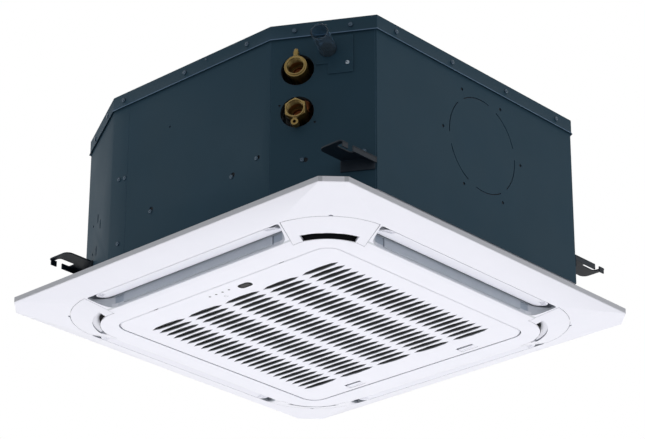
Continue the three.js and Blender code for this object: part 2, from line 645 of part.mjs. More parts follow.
/** A point of the pipe corner: along the cut, and inward from its face, in the body's plan. */
function inPipeCorner(along, inward) {
  const middle = new THREE.Vector2(BODY_HALF - CUT_X / 2, -(BODY_HALF - CUT_Y / 2));
  const direction = new THREE.Vector2(CUT_NORMAL.y, CUT_NORMAL.x);
  const inwards = new THREE.Vector2(-CUT_NORMAL.x, CUT_NORMAL.y);
  const point = middle.add(direction.multiplyScalar(along)).add(inwards.multiplyScalar(inward));
  return [point.x, point.y];
}

function addHeaders() {
  const inside = UNION_IN - 6;
  const supplyFoot = inPipeCorner(UNION.along, HEADER.depth);
  const coilMiddle = COIL.outer - COIL.thickness / 2;
  const frontEnd = [COIL.end + HEADER.frontGap, -coilMiddle];
  const rightEnd = [coilMiddle, -COIL.end - HEADER.rightGap];
  const supplyBranch = [inPipeCorner(UNION.along, inside), supplyFoot];
  const returnFoot = inPipeCorner(UNION.along + 42, HEADER.depth + 4);
  const returnBranch = [
    inPipeCorner(UNION.along, inside), inPipeCorner(UNION.along, inside + 10),
    inPipeCorner(UNION.along + 16, inside + 26), returnFoot,
  ];
  addPart(bodyGroup, 'supply_header', header(UNION.low, supplyFoot, supplyBranch, frontEnd), 'copper');
  addPart(bodyGroup, 'return_header', header(UNION.high, returnFoot, returnBranch, rightEnd), 'copper');
}

/** A brass pipe union with a round or six-sided head and a stepped bore. */
function pipeUnion(z, sides) {
  const head = barY(UNION.along, UNION_OUT, UNION_NECK, z, UNION.head, sides);
  const lip = barY(UNION.along, UNION_OUT - 1.5, UNION_OUT + 1, z, UNION.collar, 20);
  const collar = barY(UNION.along, UNION_NECK - 1, UNION_IN, z, UNION.collar + 0.4, 20);
  const bore = barY(UNION.along, UNION_OUT - 4, UNION_IN - 10, z, UNION.bore, 20);
  const throat = barY(UNION.along, UNION_IN - 11, UNION_IN + 1, z, UNION.throat, 16);
  return cut(join(head, lip, collar), bore, throat);
}

function airVent() {
  const foot = UNION.high + UNION.head + GAP;
  const y = (UNION_OUT + UNION_NECK) / 2;
  const stem = rod(UNION.along, y, VENT.radius, foot, foot + VENT.height - 4, 16);
  const cap = rod(UNION.along, y, VENT.radius - 1.2, foot, foot + VENT.height, 6);
  return join(stem, cap);
}

function drainValve() {
  const z = UNION.low - UNION.head - GAP - DRAIN_VALVE.radius;
  const back = UNION_NECK - 1;
  const stem = barY(UNION.along, back - DRAIN_VALVE.length, back, z, DRAIN_VALVE.radius, 16);
  const spout = barY(UNION.along, back - DRAIN_VALVE.length - 3, back - 4, z, DRAIN_VALVE.spout, 10);
  return cut(stem, spout);
}

function drainPipe() {
  const tube = barY(DRAIN.along, DRAIN.out, DRAIN.in, DRAIN.z, DRAIN.radius, 20);
  const bore = barY(DRAIN.along, DRAIN.out - 1, DRAIN.in + 1, DRAIN.z, DRAIN.bore, 20);
  return cut(tube, bore);
}

function drainCoverPlate() {
  const face = WALL_INSET - GAP;
  const { left, right, low, high, thickness, notchX, notchZ } = DRAIN_COVER;
  const plate = block(left, right, face - thickness, face, low, high);
  const notch = block(left - 1, left + notchX, -10, 10, low - 1, low + notchZ);
  const hole = barY(DRAIN.along, -10, 10, DRAIN.z, DRAIN.radius + GAP, 20);
  const screws = DRAIN_COVER.screws.map(([x, z]) => barY(x, -10, 10, z, DRAIN_COVER.screw, 10));
  return cut(plate, notch, hole, ...screws);
}

function addPipeFittings() {
  const onCut = (body) => ontoCut(body, PIPE_CORNER);
  addPart(bodyGroup, 'return_union', onCut(pipeUnion(UNION.high, 24)), 'brass');
  addPart(bodyGroup, 'supply_union', onCut(pipeUnion(UNION.low, 6)), 'brass');
  addPart(bodyGroup, 'air_vent_valve', onCut(airVent()), 'brass');
  addPart(bodyGroup, 'drain_valve', onCut(drainValve()), 'brass');
  addPart(bodyGroup, 'drain_pipe', onCut(drainPipe()), 'clearPipe');
  addPart(bodyGroup, 'drain_cover_plate', onCut(drainCoverPlate()), 'darkSteel');
}

// ---------------------------------------------------------------- body: fan

function motorMount() {
  const high = LID_TOP - SHEET - GAP;
  const { radius, inner, low, seat } = MOUNT_DISC;
  return spun([[0, low], [inner, low], [inner + 8, (low + seat) / 2], [radius, seat], [radius, high], [0, high]], 28);
}

function fanMotor() {
  const { radius, neck, low, high } = MOTOR;
  const can = spun([[0, low], [neck, low], [neck + 2, low + 8], [radius - 6, low + 10], [radius, low + 16],
    [radius, high - 10], [radius - 5, high], [0, high]], 24);
  return cut(can, rod(0, 0, SHAFT.radius + GAP, low - 1, low + MOTOR.boreDepth, 12));
}

function motorShaft() {
  const shaft = rod(0, 0, SHAFT.radius, SHAFT.low + 2, MOTOR.low + MOTOR.boreDepth - 2, 12);
  const nut = rod(0, 0, SHAFT.nut, SHAFT.low, SHAFT.low + SHAFT.nutHeight, 6);
  return join(shaft, nut);
}

const SHROUD = [
  [IMPELLER.inlet, IMPELLER.low], [IMPELLER.inlet + 3, IMPELLER.low + 12],
  [IMPELLER.inlet + 15, IMPELLER.low + 21], [IMPELLER.radius, IMPELLER.low + 27],
];

/** One backward-curved blade in plan, from beside the hub to the rim. */
function bladeOutline() {
  const { radius, blade } = IMPELLER;
  const root = HUB.top + 12;
  const [tipX, tipY] = [0.76 * radius, -0.62 * radius];
  const [bendX, bendY] = [0.835 * radius, -0.19 * radius];
  const shape = new THREE.Shape();
  shape.moveTo(root, 0);
  shape.quadraticCurveTo(bendX, bendY, tipX, tipY);
  shape.lineTo(tipX - blade, tipY);
  shape.quadraticCurveTo(bendX - blade, bendY - blade, root - 2, 0);
  shape.closePath();
  return shape;
}

function impeller() {
  const { radius, plate, disc } = IMPELLER;
  const low = HUB.floor - HUB.wall;
  const hub = spun([[radius, plate], [radius, plate + disc], [HUB.top, plate + disc], [HUB.bottom, HUB.floor],
    [0, HUB.floor], [0, low], [HUB.bottom + 2, low], [HUB.top + 2, plate]], 28);
  const boss = rod(0, 0, HUB.boss, SHAFT.low + SHAFT.nutHeight + GAP, HUB.floor - 1, 14);
  const shaftHole = rod(0, 0, SHAFT.radius + GAP, SHAFT.low, HUB.floor + 1, 12);
  const under = SHROUD.map(([r, z]) => [r, z]);
  const over = SHROUD.map(([r, z]) => [r, z + IMPELLER.shroud]).reverse();
  const shroud = spun([...under, ...over], 28);
  const tip = radius - 1;
  const eye = HUB.top + 6;
  const bladeZone = spun([...SHROUD.map(([r, z]) => [Math.min(r + 0.7, tip), z + IMPELLER.shroud / 2]),
    [tip, plate + 1], [eye, plate + 1], [eye, IMPELLER.low + 30], [IMPELLER.inlet - 6, IMPELLER.low + 12]], 28);
  const blade = slab(bladeOutline(), IMPELLER.low - 2, plate + 0.5, 4).intersect(bladeZone);
  const blades = [];
  for (let i = 0; i < IMPELLER.blades; i += 1) {
    blades.push(turned(blade, (i * 2 * Math.PI) / IMPELLER.blades));
  }
  return cut(join(hub, boss, shroud, ...blades), shaftHole);
}

function bellMouth() {
  const { plate, thickness, mouth, throat, top, wall, bead, curve, flare } = BELL;
  const half = PAN_OPENING - GAP;
  const sheet = slab(roundedRectangle(0, 0, half, half, PAN_RADIUS - GAP), plate, plate + thickness, 5);
  const flat = cut(sheet, rod(0, 0, mouth, plate - 1, plate + thickness + 1, 30));
  const high = plate + thickness + bead;
  const ring = spun([[mouth + 2, plate - bead], [mouth - 2, plate - bead], [throat + flare, plate + curve * 0.4],
    [throat, plate + curve], [throat, top], [throat + wall, top], [throat + wall, plate + curve],
    [throat + flare + wall, plate + curve * 0.45], [mouth - 1, high], [mouth + 2, high]], 30);
  return join(flat, ring);
}

function addFan() {
  addPart(bodyGroup, 'motor_mount', motorMount(), 'galvanised');
  addPart(bodyGroup, 'fan_motor', fanMotor(), 'galvanised');
  addPart(bodyGroup, 'motor_shaft', motorShaft(), 'galvanised');
  addPart(bodyGroup, 'impeller', impeller(), 'blackPlastic');
  addPart(bodyGroup, 'bell_mouth', bellMouth(), 'blackPlastic');
}

// ---------------------------------------------------------------- body: drain pan, pump and controls

function squareRing(inner, outer, innerRadius, outerRadius) {
  const shape = roundedRectangle(0, 0, outer, outer, outerRadius);
  shape.holes.push(roundedRectangle(0, 0, inner, inner, innerRadius, THREE.Path));
  return shape;
}

function drainPan() {
  const body = bodySlab(PAN_INSET, BODY_BOTTOM, PAN_TOP);
  const opening = slab(roundedRectangle(0, 0, PAN_OPENING, PAN_OPENING, PAN_RADIUS), BODY_BOTTOM - 1, PAN_TOP + 1, 5);
  const channel = slab(squareRing(CHANNEL.inner, CHANNEL.outer, CHANNEL.innerRadius, CHANNEL.outerRadius),
    CHANNEL.floor, PAN_TOP + 1);
  const middle = (PAN_SLOT.inner + PAN_SLOT.outer) / 2;
  const depth = (PAN_SLOT.outer - PAN_SLOT.inner) / 2;
  const slots = [0, 1, 2, 3].map((side) => {
    const shape = roundedRectangle(0, -middle, PAN_SLOT.half, depth, PAN_SLOT.radius);
    const slot = slab(shape, BODY_BOTTOM - 1, PAN_TOP + 1);
    return turned(slot, side * RIGHT_ANGLE);
  });
  return cut(body, opening, channel, ...slots);
}

function controlBox() {
  const { halfX, low, y0, y1, wall } = BOX;
  const high = BELL.plate - GAP;
  const hollow = block(-halfX + wall, halfX - wall, y0 + wall, y1 - wall, low - 1, high - wall);
  const terminal = block(-halfX + 20, -halfX + 70, y0 + 12, y1 - 12, low + 6, high - 1);
  return join(cut(block(-halfX, halfX, y0, y1, low, high), hollow), terminal);
}

function controlBoxCover() {
  const { halfX, low, y0, y1, lid } = BOX;
  return slab(roundedRectangle(0, (y0 + y1) / 2, halfX, (y1 - y0) / 2, 3), low - GAP - lid, low - GAP);
}

function drainPump() {
  const low = PAN_TOP + GAP;
  const { x, y, radius, high, spigot } = PUMP;
  const body = spun([[0, low], [radius - 5, low], [radius - 5, low + 8], [radius, low + 10], [radius, high - 10],
    [radius - 4, high - 6], [spigot, high - 6], [spigot, high], [0, high]], 18);
  return shifted(body, x, y, 0);
}

function floatSwitch() {
  const { x, y, stem, outer, collar, low, height, travel, top } = FLOAT;
  const foot = rod(x, y, outer, PAN_TOP + GAP, low - GAP, 16);
  const head = rod(x, y, FLOAT.head, top - 6, top, 16);
  const stop = rod(x, y, collar, low + height + travel + 2, top - 5, 12);
  return join(foot, rod(x, y, stem, low - 2, top - 1, 12), head, stop);
}

function switchFloat() {
  const { x, y, low, height } = FLOAT;
  return slab(roundRing(FLOAT.outer, FLOAT.inner, x, y), low, low + height, 7);
}

function drainHose() {
  const end = DRAIN.in - 6;
  const route = [
    [PUMP.x, PUMP.y, PUMP.high + GAP], [PUMP.x, PUMP.y, PUMP.high + 40], [PUMP.x - 1, PUMP.y - 2, 200],
    [...inPipeCorner(DRAIN.along + 4, DRAIN.in + 14), 232], [...inPipeCorner(DRAIN.along, DRAIN.in + 3), DRAIN.z],
    [...inPipeCorner(DRAIN.along, end), DRAIN.z],
  ];
  return alongCurve(route, DRAIN.bore - 0.5, 16, 5);
}

function addPanAndControls() {
  addPart(bodyGroup, 'drain_pan', drainPan(), 'foam');
  addPart(bodyGroup, 'control_box', controlBox(), 'galvanised');
  addPart(bodyGroup, 'control_box_cover', controlBoxCover(), 'galvanised');
  addPart(bodyGroup, 'drain_pump', drainPump(), 'whitePlastic');
  addPart(bodyGroup, 'float_switch', floatSwitch(), 'blackPlastic');
  addPart(bodyGroup, 'switch_float', switchFloat(), 'whitePlastic');
  addPart(bodyGroup, 'drain_hose', drainHose(), 'clearPipe');
}

// ---------------------------------------------------------------- panel: frame

/** Everything under the top side of the panel's skin, lifted by a height. */
function underSkin(lift) {
  const rimHalf = PANEL_HALF - RIM_THICKNESS;
  const stepHalf = STEP.half - STEP.inset;
  const wide = rimHalf - 10;
  const slope = (SKIN - RIM_DROP - STEP.z - SKIN) / (rimHalf - stepHalf);
  const wideZ = SKIN - RIM_DROP - slope * (rimHalf - wide);
  return loft([
    panelLine(wide, BELOW), panelLine(wide, wideZ + lift), panelLine(stepHalf, STEP.z + SKIN + lift),
    panelLine(LIP.half - LIP.inset, LIP.z + SKIN + lift), panelLine(BELLY.half - BELLY.inset, BELLY.z + SKIN + lift),
    panelLine(GRILLE_HALF - 10, BELLY.z + SKIN + lift),
  ], false);
}

/** The bowl-shaped shell of the panel, as one ring of level lines. */
function panelShell() {
  const wall = INNER_WALL;
  const seamHalf = GRILLE_HALF + SEAM;
  const seamRadius = GRILLE_RADIUS + SEAM;
  const skinTop = BELLY.z + SKIN;
  const insideHalf = PANEL_HALF - RIM_THICKNESS;
  return loft([
    levelLine(PANEL_HALF, PANEL_CHAMFER, 0, true),
    levelLine(insideHalf, PANEL_CHAMFER - RIM_INNER_BEVEL, 0, true),
    levelLine(insideHalf, PANEL_CHAMFER - RIM_INNER_BEVEL, -RIM_DROP + SKIN, true),
    panelLine(STEP.half - STEP.inset, STEP.z + SKIN),
    panelLine(LIP.half - LIP.inset, LIP.z + SKIN),
    panelLine(BELLY.half - BELLY.inset, skinTop),
    levelLine(wall.half + wall.thickness, wall.radius + wall.thickness, skinTop),
    levelLine(wall.half + wall.thickness, wall.radius + wall.thickness, wall.top),
    levelLine(wall.half, wall.radius, wall.top),
    levelLine(wall.half, wall.radius, skinTop),
    levelLine(seamHalf, seamRadius, skinTop),
    levelLine(seamHalf, seamRadius, BELLY.z),
    panelLine(BELLY.half, BELLY.z),
    panelLine(BELLY.half + BELLY.blend, BELLY.z + BELLY.rise),
    panelLine(LIP.half, LIP.z),
    panelLine(STEP.half, STEP.z),
    levelLine(PANEL_HALF - RIM_BEVEL, PANEL_CHAMFER - RIM_BEVEL / 2, -RIM_DROP, true),
    levelLine(PANEL_HALF, PANEL_CHAMFER, -RIM_DROP + RIM_BEVEL, true),
  ], true);
}

/** The plan of one air outlet, grown by a margin. */
function outletOutline(margin) {
  const { outer, inner, longHalf, shortHalf, outerRadius, innerRadius } = OUTLET;
  return outline([
    [-longHalf - margin, -outer - margin, outerRadius], [longHalf + margin, -outer - margin, outerRadius],
    [shortHalf + margin, -inner + margin, innerRadius], [-shortHalf - margin, -inner + margin, innerRadius],
  ]);
}

/** Height of the blade's underside at a distance from the centre. */
function bladeUnderside(w) {
  const slope = (BLADE.outerZ - BLADE.innerZ) / (BLADE.outer - BLADE.inner);
  return BLADE.innerZ + slope * (w - BLADE.inner);
}

/** Space below the blade at both ends of an outlet, where the panel's collar stands. */
function collarZone(clearance) {
  const outer = OUTLET.outer + COLLAR.margin;
  const inner = OUTLET.inner - COLLAR.margin;
  const zone = profileAlongX([
    [-outer, BELOW], [-inner, BELOW], [-inner, bladeUnderside(inner) - COLLAR.drop + clearance],
    [-outer, bladeUnderside(outer) - COLLAR.drop + clearance],
  ], -PANEL_HALF, PANEL_HALF);
  const start = COLLAR.start - clearance;
  return cut(zone, block(-start, start, -PANEL_HALF, -GRILLE_HALF, BELOW - 1, ABOVE));
}

/** The two collar ends of one outlet before it is cut through: they rise from the skin to the blade. */
function outletCollar() {
  const column = slab(outletOutline(COLLAR.wall), BELOW, ABOVE).intersect(collarZone(0));
  return cut(column, underSkin(-SKIN / 2));
}

function coverOutline(inset) {
  const { start, sideInner, arcHalf, innerHalf } = COVER;
  const outerRadius = arcHalf - CORNER_CENTRE - inset;
  const innerRadius = innerHalf - CORNER_CENTRE + inset;
  const outerAngle = RIGHT_ANGLE - Math.asin((start + inset - CORNER_CENTRE) / outerRadius);
  const innerAngle = RIGHT_ANGLE + Math.asin((CORNER_CENTRE - sideInner - inset) / innerRadius);
  const shape = new THREE.Shape();
  shape.absarc(CORNER_CENTRE, -CORNER_CENTRE, outerRadius, -outerAngle, -RIGHT_ANGLE + outerAngle, false);
  shape.absarc(CORNER_CENTRE, -CORNER_CENTRE, innerRadius, -RIGHT_ANGLE + innerAngle, -innerAngle, true);
  shape.closePath();
  return shape;
}

/** Hinge lug on the frame: hangs from a bridge above the grille's edge and holds the hinge pin. */
function hingeLug(x) {
  const { y, z, lug, bore, lugHalf, bridge, bridgeHeight } = HINGE;
  const root = -INNER_WALL.half - 1;
  const high = bridge + bridgeHeight;
  const web = profileAlongX([[y - lug, z], [y + lug, z], [y + lug, high], [root, high], [root, bridge],
    [y - lug, bridge]], x - lugHalf, x + lugHalf);
  const eye = barX(x - lugHalf, x + lugHalf, y, z, lug, 14);
  return cut(join(web, eye), barX(x - lugHalf - 1, x + lugHalf + 1, y, z, bore, 12));
}

function panelFrame() {
  const sides = [0, 1, 2, 3].map((side) => side * RIGHT_ANGLE);
  const collar = outletCollar();
  const opening = slab(outletOutline(0), BELOW, ABOVE);
  const cover = slab(coverOutline(-COVER.gap), BELOW, ABOVE, 8);
  const notchReach = CORNER_CENTRE + (COVER.arcHalf - CORNER_CENTRE) * Math.SQRT1_2;
  const { radius, depth } = THUMB_NOTCH;
  const notch = rod(notchReach, -notchReach, radius, STEP.z - depth, STEP.z + SKIN - 1, 16);
  const shell = join(panelShell(), ...sides.map((angle) => turned(collar, angle)));
  const openings = sides.flatMap((angle) => [turned(opening, angle), turned(cover, angle), turned(notch, angle)]);
  return join(cut(shell, ...openings), hingeLug(HINGE.x), hingeLug(-HINGE.x));
}

function cornerCover() {
  const { centre, inner, outer, from, to } = CORNER_SLOT;
  const slot = new THREE.Shape();
  const [start, end] = [from, to].map(THREE.MathUtils.degToRad);
  slot.absarc(centre, -centre, outer, start, end, false);
  slot.absarc(centre, -centre, inner, end, start, true);
  slot.closePath();
  const skin = panelShell().intersect(slab(coverOutline(COVER.gap), BELOW, ABOVE, 8));
  return cut(skin, slab(slot, BELOW, ABOVE, 7));
}

// ---------------------------------------------------------------- panel: ducts, louvres and motors

/** A level rectangle of the duct: w range and half length. */
function ductLine(inner, outer, half, z) {
  return [[-half, -outer], [half, -outer], [half, -inner], [-half, -inner]]
    .map(([x, y]) => new THREE.Vector3(x, y, z));
}

/** The air duct between the body and one outlet; its top leans inward to meet the body's slot. */
function outletDuct() {
  const { inner, outer, half, wall, shift, bend, top } = DUCT;
  const low = BELLY.z - 1;
  const lean = (extra) => (shift * (top + extra - bend)) / (top - bend);
  const shell = loft([
    ductLine(inner - wall, outer + wall, half + wall, low), ductLine(inner - wall, outer + wall, half + wall, bend),
    ductLine(inner - wall - shift, outer + wall - shift, half + wall, top),
  ], false);
  const hollow = loft([
    ductLine(inner, outer, half, low - 1), ductLine(inner, outer, half, bend),
    ductLine(inner - lean(1), outer - lean(1), half, top + 1),
  ], false);
  const collarRoom = slab(outletOutline(COLLAR.wall + GAP), BELOW, ABOVE).intersect(collarZone(GAP));
  const pinHole = barX(-half - wall - 1, half + wall + 1, -PIVOT.w, PIVOT.z, PIVOT.hole, 10);
  return cut(shell, hollow, underSkin(GAP), collarRoom, pinHole);
}

function louvreBlade() {
  const { outer, outerZ, inner, innerZ, half, thickness, sag, camber, endRadius } = BLADE;
  const middle = [(-outer - inner) / 2, (outerZ + innerZ) / 2 - sag];
  const curved = profileAlongX([
    [-outer, outerZ], [middle[0], middle[1], camber], [-inner, innerZ],
    [-inner - 0.3, innerZ + thickness], [middle[0], middle[1] + thickness, camber],
    [-outer - 0.1, outerZ + thickness],
  ], -half, half);
  const plan = outline([
    [-half, -outer - 1, endRadius], [half, -outer - 1, endRadius],
    [half, -inner + 1, 2], [-half, -inner + 1, 2],
  ]);
  const blade = curved.intersect(slab(plan, BELOW, ABOVE));
  const { foot, crown, shoulder } = BLADE_ARM;
  const { w, z, pin } = PIVOT;
  const armProfile = [
    [-w - foot, bladeUnderside(w + foot) + 1], [-w + foot - 1, bladeUnderside(w - foot + 1) + 1],
    [-w + shoulder, z + 1, 2], [-w, z + crown, 4], [-w - shoulder, z + 1, 2],
  ];
  const armEnd = half - 1;
  const armStart = armEnd - BLADE_ARM.thickness;
  const pinEnd = DUCT.half + DUCT.wall;
  const driven = pinEnd + GAP + MOTOR_CAN.boreDepth - 1;
  const right = [profileAlongX(armProfile, armStart, armEnd), barX(armEnd - 1, driven, -w, z, pin, 10)];
  const left = [profileAlongX(armProfile, -armEnd, -armStart), barX(-pinEnd - 1, 1 - armEnd, -w, z, pin, 10)];
  return join(blade, ...right, ...left);
}

function louvreMotor() {
  const start = DUCT.half + DUCT.wall + GAP;
  const { radius, length, boreDepth, plug } = MOTOR_CAN;
  const can = barX(start, start + length, -PIVOT.w, PIVOT.z, radius, 18);
  const top = PIVOT.z + radius + 4;
  const terminal = block(start + 3, start + length - 2, -PIVOT.w - plug, -PIVOT.w + plug, PIVOT.z, top);
  const bore = barX(start - 1, start + boreDepth, -PIVOT.w, PIVOT.z, PIVOT.hole, 10);
  return cut(join(can, terminal), bore);
}

const SIDES = ['front', 'right', 'back', 'left'];

function addPanelSides() {
  const pieces = [
    ['corner_cover', cornerCover(), 'whitePlastic'], ['outlet_duct', outletDuct(), 'greyPlastic'],
    ['louvre', louvreBlade(), 'whitePlastic'], ['louvre_motor', louvreMotor(), 'blackPlastic'],
  ];
  pieces.forEach(([name, body, finish]) => {
    SIDES.forEach((side, i) => {
      const mesh = new THREE.Mesh(geometryOf(body), new THREE.MeshStandardMaterial(FINISHES[finish]));
      mesh.name = `${name}_${side}`;
      mesh.rotation.z = i * RIGHT_ANGLE;
      panelGroup.add(mesh);
    });
  });
}

// ---------------------------------------------------------------- panel: intake grille and display

/** One slot with full ends: two curves that bow apart by the slot's width. */
function bowedSlot(x, y, halfLength) {
  const handle = halfLength * SLOTS.fullness;
  const width = (2 * SLOTS.halfY) / SLOTS.rows - SLOTS.land;
  const bulge = (width / 2) * (4 / 3); // a cubic curve reaches three quarters of its handles
  const shape = new THREE.Shape();
  shape.moveTo(x - halfLength, y);
  shape.bezierCurveTo(x - handle, y - bulge, x + handle, y - bulge, x + halfLength, y);
  shape.bezierCurveTo(x + handle, y + bulge, x - handle, y + bulge, x - halfLength, y);
  return shape;
}

/** All slots as leaning cutters, so that each slat is inclined. */
function slotCutters() {
  const pitchX = (2 * SLOTS.halfX) / SLOTS.columns;
  const pitchY = (2 * SLOTS.halfY) / SLOTS.rows;
  const low = BELLY.z - 1;
  const lean = new THREE.Matrix4().set(1, 0, 0, 0, 0, 1, SLOTS.lean, -SLOTS.lean * BELLY.z, 0, 0, 1, 0, 0, 0, 0, 1);
  const columns = [];
  for (let column = 0; column < SLOTS.columns; column += 1) {
    const x = -SLOTS.halfX + (column + 0.5) * pitchX;
    for (let row = 0; row < SLOTS.rows; row += 1) {
      const y = SLOTS.shift - SLOTS.halfY + (row + 0.5) * pitchY;
      columns.push(moved(slab(bowedSlot(x, y, (pitchX - SLOTS.rib) / 2), low, low + SKIN + 2, 4), lean));
    }
  }
  return columns;
}

function displayHoles() {
  const through = [BELLY.z - 1, BELLY.z + SKIN + 1];
  const lamps = [];
  for (let i = 0; i < LAMPS.count; i += 1) {
    lamps.push(rod(LAMPS.first + i * LAMPS.pitch, LAMPS.y, LAMPS.radius + GAP, ...through, 10));
  }
  const { x, y, halfX, halfY, radius } = RECEIVER;
  const receiver = slab(roundedRectangle(x, y, halfX + GAP, halfY + GAP, radius + GAP), ...through);
  return [...lamps, receiver, rod(BUTTON.x, BUTTON.y, BUTTON.radius + GAP, ...through, 16)];
}

function latchWindow(x) {
  const { halfX, halfY, y, travel, ear, room } = LATCH;
  const low = y - halfY - travel - room;
  const window = block(x - halfX - room, x + halfX + room, low, y + halfY + room, BELLY.z - 1, BELLY.z + SKIN + 1);
  const reach = halfX + ear + room;
  const notch = block(x - reach, x + reach, SKIRT.half - 5, GRILLE_HALF + 1,
    BELLY.z + SKIN - 0.2, BELLY.z + SKIN + LATCH.plate + 2 * room);
  return [window, notch];
}

/** Ribs and pin of one grille hinge. */
function hingePin(x) {
  const { y, z, pin, pocketHalf, rib } = HINGE;
  const ribProfile = [[y - 3, BELLY.z + 1], [y + 6, BELLY.z + 1], [y + 6, z + 1], [y + 2, z + 4], [y - 2, z + 4],
    [y - 3, z + 2]];
  return [
    profileAlongX(ribProfile, x - pocketHalf - rib, x - pocketHalf - GAP),
    profileAlongX(ribProfile, x + pocketHalf + GAP, x + pocketHalf + rib),
    barX(x - pocketHalf - 1, x + pocketHalf + 1, y, z, pin, 12),
  ];
}

function intakeGrille() {
  const half = GRILLE_HALF;
  const plateTop = BELLY.z + SKIN;
  const plate = loft([
    levelLine(half - EDGE_BEVEL, GRILLE_RADIUS - EDGE_BEVEL, BELLY.z),
    levelLine(half, GRILLE_RADIUS, BELLY.z + EDGE_BEVEL), levelLine(half, GRILLE_RADIUS, plateTop),
  ], false);
  const skirt = slab(squareRing(SKIRT.half - SKIRT.thickness, SKIRT.half, SKIRT.radius - SKIRT.thickness,
    SKIRT.radius), plateTop - 1, SKIRT.top);
  const pockets = [HINGE.x, -HINGE.x].map((x) => block(x - HINGE.pocketHalf, x + HINGE.pocketHalf,
    -GRILLE_HALF - 1, HINGE.y + 6, HINGE.z - HINGE.lug - GAP, SKIRT.top + 1));
  const base = cut(join(plate, skirt), ...pockets, ...latchWindow(LATCH.x), ...latchWindow(-LATCH.x),
    ...displayHoles(), ...slotCutters());
  return join(base, ...hingePin(HINGE.x), ...hingePin(-HINGE.x));
}

function airFilter() {
  const { halfX, low, high, thickness, border, cells, rib } = FILTER;
  const middle = (low + high) / 2;
  const seat = BELLY.z + SKIN + GAP;
  const windows = [];
  const cellX = (2 * (halfX - border)) / cells;
  const cellY = (high - low - 2 * border) / cells;
  for (let i = 0; i < cells; i += 1) {
    for (let j = 0; j < cells; j += 1) {
      const x = -halfX + border + i * cellX + rib / 2;
      const y = low + border + j * cellY + rib / 2;
      windows.push(block(x, x + cellX - rib, y, y + cellY - rib, seat - 1, seat + thickness + 1));
    }
  }
  const sheet = roundedRectangle(0, middle, halfX, (high - low) / 2, FILTER.radius);
  return cut(slab(sheet, seat, seat + thickness), ...windows);
}

function displayHousing() {
  const { left, right, low, high, top } = DISPLAY;
  const seat = BELLY.z + SKIN + GAP;
  const middleX = (left + right) / 2;
  const middleY = (low + high) / 2;
  const box = slab(roundedRectangle(middleX, middleY, (right - left) / 2, (high - low) / 2, 3), seat, top);
  const lamps = [];
  for (let i = 0; i < LAMPS.count; i += 1) {
    lamps.push(rod(LAMPS.first + i * LAMPS.pitch, LAMPS.y, LAMPS.radius, BELLY.z, seat + 1, 10));
  }
  return join(box, ...lamps);
}

function receiverWindow() {
  const shape = roundedRectangle(RECEIVER.x, RECEIVER.y, RECEIVER.halfX, RECEIVER.halfY, RECEIVER.radius);
  return slab(shape, BELLY.z - 0.2, BELLY.z + SKIN);
}

function displayButton() {
  const { x, y, radius, lift, dome } = BUTTON;
  const crown = spun([[0, BELLY.z - dome], [radius - 0.8, BELLY.z - dome], [radius, BELLY.z + dome],
    [radius, BELLY.z + SKIN - lift + GAP], [0, BELLY.z + SKIN - lift + GAP]], 16);
  return shifted(crown, x, y, 0);
}

function grilleLatch(x) {
  const { y, halfX, halfY, tongue, plate, travel, ear } = LATCH;
  const seat = BELLY.z + SKIN + GAP;
  const thumb = block(x - halfX, x + halfX, y - halfY, y + halfY, BELLY.z + 0.2, seat + 0.5);
  const groove = block(x - halfX + 3, x + halfX - 3, y - 1, y + 1, BELLY.z - 1, BELLY.z + 1);
  const slider = block(x - halfX - ear, x + halfX + ear, y - halfY - travel - ear, tongue, seat, seat + plate);
  return join(cut(thumb, groove), slider);
}

function addIntake() {
  addPart(panelGroup, 'intake_grille', intakeGrille(), 'whitePlastic');
  addPart(panelGroup, 'air_filter', airFilter(), 'blackPlastic');
  addPart(panelGroup, 'display_housing', displayHousing(), 'blackPlastic');
  addPart(panelGroup, 'receiver_window', receiverWindow(), 'darkWindow');
  addPart(panelGroup, 'display_button', displayButton(), 'whitePlastic');
  addPart(panelGroup, 'grille_latch_right', grilleLatch(LATCH.x), 'whitePlastic');
  addPart(panelGroup, 'grille_latch_left', grilleLatch(-LATCH.x), 'whitePlastic');
}

function panelGasket() {
  return slab(squareRing(GASKET.inner, GASKET.outer, GASKET.innerRadius, GASKET.outerRadius),
    INNER_WALL.top + GAP, BODY_BOTTOM - GAP);
}

// ---------------------------------------------------------------- assembly

addCasing();
addBrackets();
addPart(bodyGroup, 'foam_liner', foamLiner(), 'foam');
addPart(bodyGroup, 'coil', finnedCoil(), 'aluminium');
addHeaders();
addPipeFittings();
addFan();
addPanAndControls();
addPart(panelGroup, 'panel_frame', panelFrame(), 'whitePlastic');
addPanelSides();
addIntake();
addPart(panelGroup, 'panel_gasket', panelGasket(), 'softFoam');

export default airConditioner;
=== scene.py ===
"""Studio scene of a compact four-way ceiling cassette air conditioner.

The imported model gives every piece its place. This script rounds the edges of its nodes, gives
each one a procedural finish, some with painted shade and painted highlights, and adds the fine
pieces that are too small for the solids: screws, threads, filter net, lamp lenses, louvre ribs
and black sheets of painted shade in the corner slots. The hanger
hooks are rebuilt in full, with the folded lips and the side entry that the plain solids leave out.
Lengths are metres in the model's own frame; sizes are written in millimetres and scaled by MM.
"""

import json
import logging
import math
from dataclasses import dataclass, field, replace
from enum import Enum
from typing import Any, Mapping, Sequence

import bmesh
import bpy
from mathutils import Matrix, Vector

